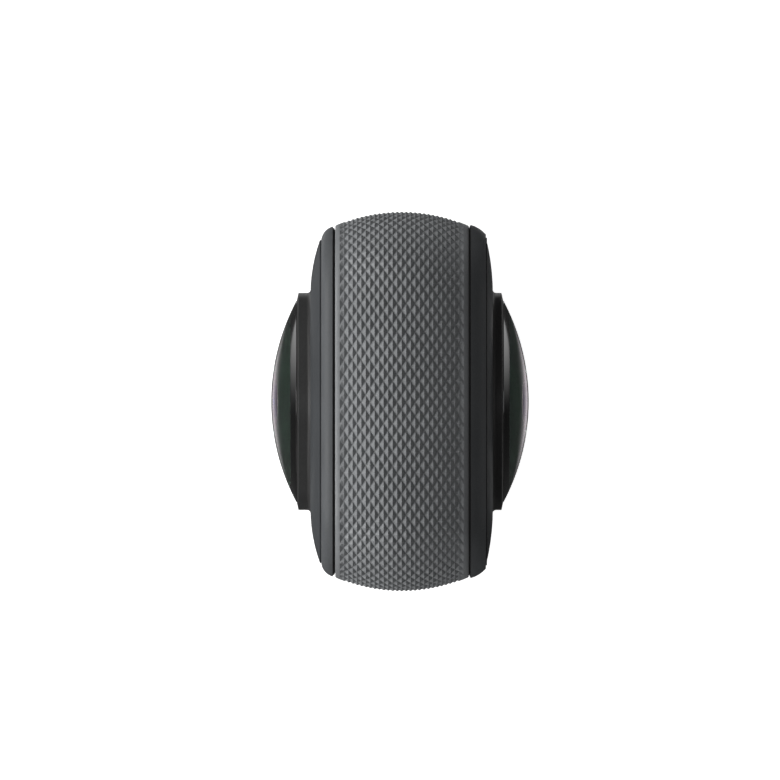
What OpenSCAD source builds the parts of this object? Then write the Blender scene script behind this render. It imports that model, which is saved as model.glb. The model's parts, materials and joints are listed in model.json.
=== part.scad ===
// Bar-shaped 360 degree camera: a fisheye lens on each face, a knurled grip band round the edge,
// a touch screen, a removable battery and a tripod socket in the base.
// Inside the modules x is the width, y the height above the base and z points out of the front.

/* [Body] */
// Width of the body across the crown of the grip band
body_w = 46; // [45:0.5:50]
// Height of the body above its flat base
body_h = 114; // [112:1:122]
// Corner radius of the outline seen from the front
corner_r = 10; // [9.5:0.25:10.5]
// Width of the grip band along the lens axis
band_w = 16.3; // [16:0.1:17]
// Radius of the crown across the grip band
crown_r = 20; // [19:1:24]
// Thickness of the grip band at its crown
band_t = 2.2; // [2.1:0.1:2.5]
// Height sliced off the crowned foot to make the flat base
foot_cut = 1.6; // [1.4:0.1:1.7]
// Wall of the inner frame
frame_wall = 1.6; // [1.4:0.1:1.8]

/* [Shells and faces] */
// Thickness of the gasket between the band and each shell
gasket_t = 0.2; // [0.2:0.05:0.4]
// Distance that the gasket lies back from the outline
gasket_inset = 2; // [1.9:0.05:2.2]
// Thickness of the floor of each shell
floor_t = 0.85; // [0.8:0.05:1.2]
// Height of the front shell's rim above its floor
front_rim_h = 0.55; // [0.4:0.05:0.7]
// Height of the rear shell's rim above its floor
rear_rim_h = 1; // [0.8:0.05:1.2]
// Distance from the outline in to the front shell's edge
front_rim_inset = 1.8; // [1.7:0.05:1.9]
// Distance from the outline in to the rear shell's edge
rear_rim_inset = 1.6; // [1.5:0.05:1.75]
// Slope of both shells' outer edges where they meet the gasket, in degrees
rim_lean = 15; // [10:1:20]
// Radius of the rear shell's outer edge
rear_rim_r = 3.7; // [3.3:0.1:4.5]
// Thickness of each face plate in its middle
face_t = 1.85; // [1.75:0.05:2.2]
// Distance from the outline in to the front face plate's edge
front_face_inset = 3.45; // [3.4:0.05:3.6]
// Distance from the outline in to the rear face plate's edge
rear_face_inset = 3.3; // [3.25:0.05:3.5]
// Fall of the front face plate from its flat to its edge
front_face_drop = 1.15; // [0.8:0.05:1.25]
// Fall of the rear face plate from its flat to its edge
rear_face_drop = 0.8; // [0.5:0.05:1]
// Number of grip grooves in the rear face plate
groove_count = 13; // [5:2:13]
// Spacing of the grip grooves
groove_pitch = 1.6; // [1.2:0.1:1.7]
// Width of each grip groove
groove_w = 0.6; // [0.4:0.1:0.8]
// Depth of each grip groove
groove_d = 0.35; // [0.2:0.05:0.5]
// Height above the base at which the grip grooves begin
groove_y = 14; // [13:1:20]
// Length of the grip grooves
groove_len = 50; // [40:1:52]

/* [Lenses] */
// Distance of the lens axis below the top
lens_drop = 23; // [22:0.5:24]
// Offset of the optical block towards the front
lens_shift = 0.2; // [0:0.05:0.3]
// Radius of the lens ring
ring_r = 13.2; // [13.1:0.1:14]
// Height of the lens ring above the face plate
ring_h = 1.3; // [1.1:0.05:1.6]
// Radius of the gloss bezel inside the lens ring
bezel_r = 12.2; // [12.1:0.05:12.4]
// Radius of the dome lens at its rim
dome_rim_r = 10.85; // [10.6:0.05:11]
// Spherical radius of the dome lens
dome_r = 26; // [24:0.5:30]
// Thickness of the dome lens
dome_t = 0.9; // [0.7:0.05:1]
// Height of the dome lens above the face plate
dome_h = 4.6; // [4.4:0.05:5]
// Thickness of the seal under the dome lens
lens_seal_t = 0.2; // [0.15:0.05:0.3]
// Depth of the dome lens's seat below its rim
seat_d = 0.6; // [0.5:0.05:0.7]
// Radius of the inner lens
inner_lens_r = 3.7; // [3.4:0.1:4]
// Spherical radius of the inner lens
inner_sphere_r = 4.2; // [4.1:0.1:6]
// Gap between the tops of the inner lens and of the dome
inner_gap = 0.55; // [0.5:0.05:0.9]
// Radius of the lens barrel
barrel_r = 9.6; // [9.2:0.1:9.7]
// Radius of the lens barrel's flange
flange_r = 14.4; // [14.3:0.05:14.6]
// Thickness of the lens barrel's flange
flange_t = 1.2; // [1:0.1:1.4]
// Radius of the bore through the lens barrel
barrel_bore_r = 2.9; // [2.4:0.1:3.1]
// Radius of the light box behind the lens barrel's bore
light_box_r = 6.6; // [6:0.1:7.4]
// Wall round the flange in the frame's lens mount
mount_rim = 0.4; // [0.3:0.05:0.6]
// Width of each square sensor board
sensor_board_w = 13.4; // [12:0.2:13.8]
// Thickness of each sensor board
sensor_board_t = 1; // [0.8:0.1:1.2]
// Width of each square sensor chip
sensor_w = 10; // [8:0.5:11]
// Thickness of each sensor chip
sensor_t = 0.8; // [0.6:0.1:1]
// Thickness of the heat spreader between the sensor boards
spreader_t = 2.4; // [2:0.1:2.8]
// Width of each sensor flex
flex_w = 4; // [3:0.5:4]
// Thickness of the flexes
flex_t = 0.2; // [0.15:0.05:0.3]

/* [Screen] */
// Width of the screen glass
screen_w = 30; // [26:0.5:31]
// Height of the screen glass
screen_h = 42; // [38:0.5:43]
// Corner radius of the screen glass
screen_r = 3; // [1.5:0.25:4]
// Height of the screen's lower edge above the base
screen_y = 29; // [28:0.5:30]
// Thickness of the screen glass
glass_t = 1; // [0.8:0.05:1.1]
// Margin of the display panel inside the glass's outline
panel_margin = 0.6; // [0.4:0.1:1.5]
// Width of the display flex
display_flex_w = 10; // [8:0.5:14]

/* [Buttons] */
// Height of the front buttons' centres above the base
button_y = 18; // [17.5:0.25:19]
// Distance of each front button from the middle
button_x = 7.6; // [7:0.1:8]
// Radius of the shutter button
shutter_r = 5; // [4.4:0.1:5.2]
// Radius of the menu button
menu_r = 4.2; // [3.8:0.1:5]
// Height of the front buttons above the face plate
button_proud = 0.35; // [0.2:0.05:0.6]
// Press of every button
press = 0.4; // [0.25:0.05:0.45]
// Step of a button's flange beyond its cap
button_flange = 0.6; // [0.4:0.05:0.7]
// Thickness of a button's flange
button_flange_t = 0.4; // [0.3:0.05:0.45]
// Radius of a button's plunger
plunger_r = 1.3; // [1:0.1:1.5]
// Height of the button panel's lower edge above the base
side_panel_y = 60; // [58:0.5:61]
// Length of the button panel
side_panel_len = 24; // [23.5:0.5:25]
// Width of the button panel
side_panel_w = 14.6; // [14:0.1:14.8]
// Depth of the button panel below the band's crown
side_panel_low = 0.15; // [0:0.05:0.3]
// Length of the power button
power_len = 10.5; // [9:0.5:11]
// Length of the quick button
quick_len = 7; // [6:0.5:7.5]
// Radius of the side buttons' round ends
side_button_r = 2.6; // [2.2:0.1:2.8]
// Height of the power button's centre above the panel's lower edge
power_up = 17; // [16.5:0.1:17]
// Height of the quick button's centre above the panel's lower edge
quick_up = 6; // [5.6:0.1:6]
// Height of the side buttons above the band's crown
side_proud = 0; // [0:0.05:0.1]
// Thickness of the button boards
button_board_t = 0.8; // [0.6:0.1:1]
// Radius of the dome switches
switch_r = 2; // [1.6:0.1:2.2]
// Height of the dome switches
switch_h = 0.3; // [0.2:0.05:0.4]

/* [Cable door] */
// Band between the battery's window and the door's window
door_gap = 2.8; // [2.6:0.1:3.2]
// Length of the door above its hinge
door_len = 14.6; // [14:0.1:15]
// Depth of the hinge axis below the band's crown
hinge_d = 1.4; // [1.35:0.05:1.5]
// Radius of the hinge pin
pin_r = 0.5; // [0.4:0.05:0.55]
// Distance of each hinge ear's middle from the centre
ear_z = 3.8; // [3.4:0.1:4]
// Thickness of each hinge ear
ear_t = 1.2; // [1:0.1:1.4]
// Radius of each hinge ear
ear_r = 0.85; // [0.8:0.05:0.85]
// Height of the cable port's centre above the hinge
port_up = 7; // [6.9:0.05:7.2]
// Width of the cable port's shell
port_w = 8.94; // [8.94:0.02:9]
// Height of the cable port's shell
port_h = 3.26; // [3.2:0.02:3.3]
// Length of the cable port
port_len = 7.4; // [6.5:0.1:8]
// Wall of the cable port's shell
port_wall = 0.3; // [0.2:0.05:0.4]
// Thickness of the cable port's tongue
tongue_t = 0.7; // [0.6:0.05:0.8]
// Margin of the door's seal beyond the port
door_seal_margin = 0.6; // [0.4:0.05:0.8]
// Depth of the door's seal
door_seal_t = 1.2; // [1:0.1:1.3]

/* [Battery] */
// Height of the battery's window above the base
window_y = 10.9; // [10.7:0.1:11.2]
// Room between the battery bay and the frame's right-hand wall
bay_room = 4.9; // [4.7:0.1:6]
// Height of the battery pack
pack_h = 46.6; // [44:0.2:46.6]
// Thickness of the battery pack
pack_d = 8.8; // [8:0.1:8.8]
// Depth of the battery's cover and of the door below the band's crown
cover_low = 0.27; // [0.2:0.01:0.35]
// Step of the battery's cover beyond the pack at each end
cover_step = 1.5; // [1.3:0.1:1.7]
// Width of the windows in the grip band
window_w = 14.9; // [14.8:0.1:15.2]
// Wall of the battery bay
bay_wall = 1; // [0.9:0.1:1.1]
// Gap behind the battery pack
bay_end_gap = 0.4; // [0.35:0.05:0.6]
// Slide of each battery latch
latch_travel = 1.6; // [1.4:0.1:1.7]
// Length of each latch's thumb piece
thumb_len = 6; // [5:0.5:8]
// Width of each latch's thumb piece
thumb_w = 6.4; // [5:0.2:6.6]
// Width of each latch's tongue
bolt_w = 3; // [2.4:0.2:3.6]
// Thickness of each latch's tongue
bolt_t = 0.8; // [0.6:0.05:0.85]
// Length of cover between each latch's tray and the cover's end
tray_end = 2.2; // [2:0.1:3]
// Thickness of the battery's seal
pack_seal_t = 0.2; // [0.15:0.01:0.22]
// Depth of the battery's seal
pack_seal_len = 1.3; // [1:0.1:1.5]
// Number of battery contacts
contact_count = 4; // [3:1:5]
// Spacing of the battery contacts
contact_pitch = 2.4; // [2.2:0.1:2.5]
// Radius of the contact pins
contact_r = 0.4; // [0.3:0.05:0.5]

/* [Electronics] */
// Thickness of the main board
board_t = 1; // [0.8:0.1:1.2]
// Half width of the main board
board_x = 16.4; // [16:0.1:16.6]
// Height of the main board's lower edge above the base
board_y0 = 28; // [27:0.5:30]
// Gap between the main board's upper edge and the lens mount
board_gap_y = 2.2; // [1.8:0.1:2.7]
// Height of the board's stand-offs on the battery bay
standoff = 0.55; // [0.4:0.05:0.7]
// Height of the shield can over the chips
can_h = 1.6; // [1.2:0.1:1.8]
// Thickness of the card socket
card_t = 2.6; // [2.5:0.1:2.7]
// Width of the card socket
card_w = 12; // [11.6:0.2:12.4]
// Width of the speaker
speaker_w = 6.4; // [5.4:0.1:6.6]
// Height of the speaker
speaker_h = 6; // [5:0.2:6.6]
// Depth of the speaker
speaker_d = 6; // [4:0.5:9]
// Radius of the sound holes
sound_r = 0.4; // [0.3:0.05:0.5]
// Radius of the light pipes
light_r = 0.6; // [0.5:0.05:0.9]

/* [Base and screws] */
// Radius of the tripod thread
thread_r = 3.175; // [3.175:0.005:3.2]
// Depth of the tripod thread
thread_len = 6.2; // [5.5:0.1:6.6]
// Radius of the tripod nut
nut_r = 4.6; // [4.4:0.1:4.8]
// Cap above the tripod thread
nut_cap = 0.6; // [0.5:0.1:0.9]
// Recess of the tripod nut in the base
nut_recess = 0.15; // [0.1:0.05:0.3]
// Wall of the boss round the tripod nut
boss_wall = 1.4; // [1.2:0.1:1.6]
// Distance of each base screw from the middle
base_screw_x = 10.6; // [10.2:0.1:11]
// Distance of each base screw from the mid plane
base_screw_z = 5.2; // [4.8:0.1:5.4]
// Radius of the screw shanks
screw_r = 0.8; // [0.7:0.05:0.8]
// Radius of the screw heads
head_r = 1; // [0.95:0.05:1.05]
// Height of the screw heads
head_h = 0.6; // [0.5:0.05:0.6]
// Radius of the screw bosses
boss_r = 1.9; // [1.7:0.1:2.1]
// Length of the screw bosses
boss_len = 5; // [4:0.5:6]

/* [Fits] */
// Gap between pieces that are fixed together
fit = 0.05; // [0.04:0.01:0.06]
// Gap between pieces that move past each other
slip = 0.3; // [0.25:0.05:0.3]
// Gap between the hinge pin and the door
pin_slip = 0.05; // [0.03:0.01:0.08]
// Gap between a front face plate's edge and its shell
face_gap = 0.12; // [0.1:0.02:0.16]

/* [Hidden] */
$fn = 96;
over = 1;
half_w = body_w / 2;
core_x = half_w - corner_r;
core_y0 = corner_r - foot_cut;
core_y1 = body_h - corner_r;
band_half = band_w / 2;
band_u = corner_r - band_t;
frame_u1 = band_u - fit;
frame_u0 = frame_u1 - frame_wall;
wall_out = core_x + frame_u1;
wall_in = core_x + frame_u0;
band_in = core_x + band_u;
skin_in = band_in + 3 * fit;
shell_z = band_half + gasket_t;
floor_z = shell_z + floor_t;
front_rim_r = (floor_t + front_rim_h) / (1 - sin(rim_lean));
face_z = floor_z + face_t;
base_in = foot_cut < band_t ? band_t - foot_cut : 0;
base_wall = base_in + fit + frame_wall;
window_half = window_w / 2;
cover_half = window_half - slip;

lens_y = body_h - lens_drop;
dome_top = face_z + dome_h;
dome_c = dome_top - dome_r;
dome_rim_z = dome_c + sqrt(dome_r * dome_r - dome_rim_r * dome_rim_r);
seat_z = dome_rim_z - seat_d;
inner_top = dome_top - dome_t - inner_gap;
inner_c = inner_top - inner_sphere_r;
inner_rim_z = inner_c + sqrt(inner_sphere_r * inner_sphere_r - inner_lens_r * inner_lens_r);
inner_edge = 0.5;
ring_chamfer = 0.2;
barrel_fall = 0.5;
lens_screw_len = 3;
inner_z = inner_rim_z - inner_edge;
dome_in_r = sqrt(pow(dome_r - dome_t, 2) - pow(seat_z - dome_c, 2));
head_room = 0.35;
mount_half = shell_z - head_room - head_h - flange_t;
flange_z = mount_half + flange_t;
mount_r = flange_r + mount_rim;
bore_r = barrel_r + 2 * slip;
chip_gap = 0.3;
chip_z = spreader_t / 2 + sensor_board_t;
barrel_z = chip_z + sensor_t + chip_gap;
lens_screw_r = (bezel_r + flange_r) / 2;
barrel_top = seat_z - lens_seal_t - 2 * fit;

cover_y0 = window_y + slip;
pack_y0 = cover_y0 + cover_step;
pack_y1 = pack_y0 + pack_h;
cover_y1 = pack_y1 + cover_step;
window_y1 = cover_y1 + slip;
cover_mid = (cover_y0 + cover_y1) / 2;
bay_y0 = pack_y0 - slip;
bay_y1 = pack_y1 + slip;
bay_z0 = bay_wall - band_half;
pack_z0 = bay_z0 + slip;
pack_z1 = pack_z0 + pack_d;
bay_z1 = pack_z1 + slip;
bay_x1 = wall_in - bay_room - bay_wall;
pack_x1 = bay_x1 - bay_end_gap;
bay_mid_z = (pack_z0 + pack_z1) / 2;
block_t = 2;
block_w = 4;
pad_t = 0.3;
pad_h = 1.6;
pad_w = 3.2;
board_z0 = bay_z1 + bay_wall + standoff;
board_z1 = board_z0 + board_t;
board_y1 = lens_y - mount_r - board_gap_y;
standoff_x = 10.5;
standoff_low = 3;
standoff_high = 2;
standoff_r = 1.4;
can_side = 3.9;
can_low = 10;
can_high = 4;
can_wall = 0.3;

hinge_x = half_w - hinge_d;
hinge_y = window_y1 + door_gap + slip + hinge_d;
door_y1 = hinge_y + door_len;
door_window_y0 = hinge_y - hinge_d - slip;
door_window_y1 = door_y1 + slip;
port_y = hinge_y + port_up;
port_z = board_z0 - port_h / 2;
port_x = wall_in - 3 * fit;
seal_y = port_w + 2 * door_seal_margin;
seal_z = port_h + 2 * door_seal_margin;
seal_wall = 0.5;
pin_end = 1;
tongue_side = 1.2;
tongue_in = 0.6;
port_back = 1;

tray_d = 1.15;
thumb_low = 0.2;
ridge_d = 0.3;
ridge_w = 0.6;
tray_x = half_w - tray_d;
thumb_x = tray_x + 2 * fit;
bolt_x1 = thumb_x + fit;
bolt_x0 = bolt_x1 - bolt_t;
tray_y1 = cover_y1 - tray_end;
thumb_y1 = tray_y1 - slip - latch_travel;
thumb_y0 = thumb_y1 - thumb_len;

cap_z = floor_z + press + fit;
board_gap = 1;
front_board_z = shell_z - board_gap;
plunger_z = front_board_z + switch_h + press + fit;
side_board_x = wall_in - board_gap - fit;
cap_x = wall_out + fit + press + fit;
plunger_x = side_board_x + switch_h + press + fit;
side_panel_y1 = side_panel_y + side_panel_len;
power_y = side_panel_y + power_up;
quick_y = side_panel_y + quick_up;
side_boss_in = 1.4;
side_boss_r = 1.2;
side_boss_mid = (power_y + quick_y) / 2;
side_board_w = 6;
board_margin = 2.2;
board_boss_in = 1.2;
button_dish = 0.15;
button_lip = 0.9;

screen_mid = screen_y + screen_h / 2;
panel_r = max(screen_r - panel_margin, 2 * fit);
mic_x = 6;
mic_y = (screen_y + screen_h + lens_y - ring_r) / 2;
mic_r = 0.45;
mic_t = 1;
mic_w = 3.2;
mic_h = 2.2;
flex_up = 2;
flex_y = screen_y + flex_up;
nut_top = nut_recess + thread_len + nut_cap;
base_boss_h = 2;
base_boss_r = 1.5;
hex_d = 0.5;
screw_low = 0.1;
screw_tip = 2;
sound_pitch = 2;
sound_rim = 0.8;
boss_sink = 0.7;
turn_gap = 0.4;
boss_in = (frame_u0 - boss_r + boss_sink) * sqrt(0.5);
boss_spots = [for (sx = [-1, 1], y = [core_y0 - boss_in, core_y1 + boss_in]) [sx * (core_x + boss_in), y]];
base_screw_spots = [[-base_screw_x, base_screw_z], [base_screw_x, -base_screw_z]];
flex_turn_y = lens_y - mount_r - turn_gap;
speaker_x = nut_r + boss_wall + slip + fit;
speaker_y = base_wall + fit;
card_x = -card_w / 2;
card_y0 = bay_y1 + bay_wall + fit;
card_room = 4.15;
card_len = flex_turn_y - card_y0 - card_room;
card_wall = 0.4;
card_back = 0.5;
card_floor = 0.15;
card_slot_z = board_z0 - card_t + card_floor;
card_slot_t = 0.7;
flex_end_y = card_y0 + card_len + slip;

// Stands the camera up with its front towards -y, centred between the two lenses
module stand()
  translate([0, lens_shift, 0])
    rotate([90, 0, 0])
      children();

// Turns a front piece to the rear
module at_rear() rotate([0, 180, 0]) children();

// Moves a right-hand piece to the left side
module at_left() mirror([1, 0, 0]) children();

// Centre of corner i of the rectangle inside an outline
function corner_at(i, hx, y0, y1) = [i == 0 || i == 3 ? hx : -hx, i < 2 ? y1 : y0, 0];

// Carries a profile round corner i
module turn(i, hx = core_x, y0 = core_y0, y1 = core_y1)
  translate(corner_at(i, hx, y0, y1))
    rotate(90 * i)
      rotate_extrude(angle = 90)
        children();

// Carries a profile along side i: 0 right, 1 top, 2 left, 3 foot
module run(i, hx = core_x, y0 = core_y0, y1 = core_y1)
  translate(corner_at(i, hx, y0, y1))
    rotate(90 * i)
      rotate([90, 0, 0])
        linear_extrude(i % 2 == 0 ? y1 - y0 : 2 * hx)
          children();

// Carries a profile all the way round the body
module loop()
  for (i = [0:3]) {
    turn(i) children();
    run(i) children();
  }

// Block between its limits
module box(x0, x1, y0, y1, z0, z1)
  translate([x0, y0, z0])
    cube([x1 - x0, y1 - y0, z1 - z0]);

// Round post along z
module post(x, y, z0, z1, r)
  translate([x, y, z0])
    cylinder(h = z1 - z0, r = r);

// Round post along x
module side_post(x0, x1, y, z, r)
  translate([x0, y, z])
    rotate([0, 90, 0])
      cylinder(h = x1 - x0, r = r);

// Block with rounded corners, centred on the z axis
module rounded_block(w, h, r, z0, z1) {
  hx = w / 2 - r;
  hy = h / 2 - r;
  for (i = [0:3]) {
    turn(i, hx, -hy, hy) translate([0, z0]) square([r, z1 - z0]);
    run(i, hx, -hy, hy) translate([0, z0]) square([r, z1 - z0]);
  }
  box(-hx, hx, -hy, hy, z0, z1);
}

// Long block with round ends, lying along y
module pill(len, r, z0, z1) {
  hy = len / 2 - r;
  for (a = [0, 180])
    rotate(a)
      translate([0, hy, 0])
        rotate_extrude(angle = 180)
          translate([0, z0])
            square([r, z1 - z0]);
  box(-r, r, -hy, hy, z0, z1);
}

// The same on the right-hand side, between two widths
module side_pill(y, len, r, x0, x1)
  translate([0, y, 0])
    rotate([0, 90, 0])
      pill(len, r, x0, x1);

// Section of the crowned band, from a depth to the crown
module crown_section(u0, half_z, skin)
  intersection() {
    translate([corner_r - crown_r, 0])
      circle(r = crown_r + skin);
    translate([u0, -half_z])
      square([corner_r + over - u0, 2 * half_z]);
  }

// Piece of the right-hand side with the band's crown
module crown_block(y0, y1, u0, half_z, skin = 0)
  translate([core_x, y1, 0])
    rotate([90, 0, 0])
      linear_extrude(y1 - y0)
        crown_section(u0, half_z, skin);

// Section of a shell from its floor to its rounded rim
module shell_section(reach, rim_top, rim_r) {
  mid_u = reach - rim_r * cos(rim_lean);
  translate([0, shell_z])
    square([mid_u, rim_top - shell_z]);
  intersection() {
    translate([mid_u, shell_z - rim_r * sin(rim_lean)])
      circle(r = rim_r);
    translate([mid_u, shell_z])
      square([reach - mid_u, rim_top - shell_z]);
  }
}

// Shell with its floor, before its openings
module shell_blank(reach, rim_top, rim_r, recess) {
  difference() {
    union() {
      loop()
        difference() {
          shell_section(reach, rim_top, rim_r);
          translate([-over, floor_z])
            square([recess + over, rim_top]);
        }
      box(-core_x, core_x, core_y0, core_y1, shell_z, floor_z);
    }
    box(-half_w, half_w, -over, 0, shell_z - over, rim_top + over);
  }
}

// Face plate that falls to its edge, before its openings
module face_blank(reach, drop) {
  crown = (reach * reach + drop * drop) / (2 * drop);
  loop()
    intersection() {
      translate([0, face_z - crown])
        circle(r = crown);
      translate([0, floor_z])
        square([reach, face_t + over]);
    }
  box(-core_x, core_x, core_y0, core_y1, floor_z, face_z);
}

// Moves a piece to the optical block, on the front or the rear
module optic(rear)
  translate([0, lens_y, lens_shift])
    rotate([0, rear ? 180 : 0, 0])
      children();

// Inner frame with the lens mount, the battery bay and the screw bosses
module mid_frame()
  stand()
    color("#3a3c3e")
      difference() {
        union() {
          loop()
            translate([frame_u0, -band_half])
              square([frame_wall, band_w]);
          post(0, lens_y, lens_shift - mount_half, lens_shift + mount_half, mount_r);
          for (sx = [0, 180])
            translate([0, lens_y, 0])
              rotate(sx)
                box(mount_r - over, wall_in + over / 2, -over, over, -mount_half / 2, mount_half / 2);
          box(-over, over, lens_y + mount_r - over, core_y1 + frame_u0 + over / 2,
            -mount_half / 2, mount_half / 2);
          box(-wall_in - over / 2, bay_x1 + bay_wall, bay_y0 - bay_wall, bay_y1 + bay_wall,
            -band_half, bay_z1 + bay_wall);
          for (x = [-standoff_x, standoff_x], y = [board_y0 + standoff_low, bay_y1 - standoff_high])
            post(x, y, bay_z1 + bay_wall / 2, board_z0, standoff_r);
          for (p = boss_spots)
            post(p[0], p[1], -band_half, boss_len - band_half, boss_r);
          for (y = [side_panel_y + side_boss_in, side_boss_mid, side_panel_y1 - side_boss_in])
            side_post(side_board_x, wall_in + frame_wall / 2, y, 0, side_boss_r);
          translate([0, base_wall - over / 2, 0])
            rotate([-90, 0, 0])
              cylinder(h = nut_top + boss_wall - base_wall + over / 2, r = nut_r + boss_wall);
          for (p = base_screw_spots)
            translate([p[0], base_wall - over / 2, p[1]])
              rotate([-90, 0, 0])
                cylinder(h = base_boss_h + over / 2, r = base_boss_r);
          for (s = [-1, 1]) {
            box(-hinge_x, -wall_out + over / 2, hinge_y - ear_r, hinge_y + ear_r,
              s * ear_z - ear_t / 2, s * ear_z + ear_t / 2);
            post(-hinge_x, hinge_y, s * ear_z - ear_t / 2, s * ear_z + ear_t / 2, ear_r);
          }
        }
        post(0, lens_y, -band_half - over, band_half + over, bore_r);
        box(-wall_in, port_len - port_x + slip, port_y - port_w / 2 - slip, port_y + port_w / 2 + slip,
          port_z - port_h / 2 - slip, board_z1 + slip);
        box(-flex_w - slip, flex_w + slip, lens_y - mount_r - over, lens_y - bore_r / 2,
          lens_shift - chip_z, lens_shift + chip_z);
        for (a = [90, 210, 330])
          post(lens_screw_r * cos(a), lens_y + lens_screw_r * sin(a), -band_half - over, band_half + over,
            screw_r + fit);
        box(-half_w, bay_x1, bay_y0, bay_y1, bay_z0, bay_z1);
        box(-half_w, -wall_in + over, port_y - seal_y / 2 - slip, port_y + seal_y / 2 + 2 * slip,
          port_z - seal_z / 2 - slip, port_z + seal_z / 2 + slip);
        for (z = [[-window_half, -ear_z - ear_t / 2 - slip],
            [ear_t / 2 + slip - ear_z, ear_z - ear_t / 2 - slip],
            [ear_z + ear_t / 2 + slip, window_half]])
          post(-hinge_x, hinge_y, z[0], z[1], hinge_d + slip);
        post(-hinge_x, hinge_y, -ear_z - ear_t, ear_z + ear_t, pin_r + fit / 2);
        for (p = boss_spots)
          post(p[0], p[1], -band_half - over, boss_len - band_half - over, screw_r + fit);
        for (y = [power_y, quick_y])
          side_post(wall_in - over, half_w, y, 0, plunger_r + slip);
        translate([0, -over, 0])
          rotate([-90, 0, 0])
            cylinder(h = nut_top + over + fit, r = nut_r + fit);
        for (p = base_screw_spots)
          translate([p[0], -over, p[1]])
            rotate([-90, 0, 0])
              cylinder(h = base_wall + base_boss_h + 2 * over, r = screw_r + fit);
        for (z = [-1, 0, 1])
          translate([speaker_x + speaker_w / 2, -over, z * sound_pitch])
            rotate([-90, 0, 0])
              cylinder(h = base_wall + 2 * over, r = sound_r);
        for (k = [0:contact_count - 1])
          side_post(bay_x1 - over, bay_x1 + bay_wall + over,
            cover_mid + (k - (contact_count - 1) / 2) * contact_pitch, bay_mid_z, contact_r + fit);
        box(card_x + card_wall, card_x + card_w - card_wall, bay_y1 - over, bay_y1 + bay_wall + over,
          card_slot_z - fit, card_slot_z + card_slot_t + fit);
      }

// Crowned band over both sides and the top, with windows for the door, the battery and the buttons
module grip_band()
  stand()
    color("#626466")
      difference() {
        union() {
          for (i = [0:2])
            run(i) crown_section(band_u, band_half, 0);
          for (i = [0:1])
            turn(i) crown_section(band_u, band_half, 0);
        }
        box(-half_w - over, -band_in + over, window_y, window_y1, -window_half, window_half);
        box(-half_w - over, -band_in + over, door_window_y0, door_window_y1, -window_half, window_half);
        box(band_in - over, half_w + over, side_panel_y - fit, side_panel_y1 + fit,
          -side_panel_w / 2 - fit, side_panel_w / 2 + fit);
        for (y = [[window_y - latch_travel - slip, window_y + over],
            [window_y1 - over, window_y1 + latch_travel + slip]])
          box(-bolt_x1 - slip, -band_in + over, y[0], y[1], -bolt_w / 2 - slip, bolt_w / 2 + slip);
      }

// Foot of the band, sliced flat, with the hole of the tripod nut
module base_cap()
  stand()
    color("#3c3e40")
      difference() {
        union() {
          run(3) crown_section(band_u, band_half, 0);
          for (i = [2:3])
            turn(i) crown_section(band_u, band_half, 0);
        }
        box(-half_w - over, half_w + over, -foot_cut - over, 0, -band_w, band_w);
        translate([0, -over, 0])
          rotate([-90, 0, 0])
            cylinder(h = base_wall + over, r = nut_r + fit);
        for (p = base_screw_spots)
          translate([p[0], -over, p[1]])
            rotate([-90, 0, 0])
              cylinder(h = base_wall + over, r = screw_r + fit);
        for (z = [-1, 0, 1])
          translate([speaker_x + speaker_w / 2, -over, z * sound_pitch])
            rotate([-90, 0, 0])
              cylinder(h = base_wall + over, r = sound_r);
      }

// Gasket between the band and a shell
module gasket()
  difference() {
    loop()
      translate([frame_u0, band_half])
        square([corner_r - gasket_inset - frame_u0, gasket_t]);
    for (p = boss_spots)
      post(p[0], p[1], band_half - over, shell_z + over, screw_r + 3 * fit);
  }

module front_gasket() stand() color("#141414") gasket();

module rear_gasket() stand() color("#141414") at_rear() gasket();

// Front shell with the openings for the lens, the plungers and the display flex
module front_shell()
  stand()
    color("#585a5c")
      union() {
        difference() {
          shell_blank(corner_r - front_rim_inset, floor_z + front_rim_h, front_rim_r,
            corner_r - front_face_inset + face_gap);
          post(0, lens_y, shell_z - over, floor_z + over, bezel_r + slip);
          for (s = [-1, 1])
            post(s * button_x, button_y, shell_z - over, floor_z + over, plunger_r + slip);
          box(-display_flex_w / 2 - slip, display_flex_w / 2 + slip, flex_y - slip, flex_y + flex_t + slip,
            shell_z - over, floor_z + over);
          post(mic_x, mic_y, shell_z - over, floor_z + over, mic_r);
          post(-mic_x, mic_y, shell_z - over, floor_z + over, light_r + fit);
        }
        for (x = [-1, 1], y = [-1, 1])
          post(x * (button_x + shutter_r + board_margin - board_boss_in),
            button_y + y * (shutter_r - board_boss_in),
            front_board_z, shell_z + floor_t / 2, board_boss_in);
      }

// Rear shell with the openings for the lens and the screws
module rear_shell()
  stand()
    color("#585a5c")
      at_rear()
        difference() {
          shell_blank(corner_r - rear_rim_inset, floor_z + rear_rim_h, rear_rim_r,
            corner_r - rear_face_inset + face_gap);
          post(0, lens_y, shell_z - over, floor_z + over, bezel_r + slip);
          for (p = boss_spots)
            post(p[0], p[1], shell_z - over, floor_z + over, screw_r + fit);
          post(mic_x, mic_y, shell_z - over, floor_z + over, mic_r);
          post(-mic_x, mic_y, shell_z - over, floor_z + over, light_r + fit);
        }

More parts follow.
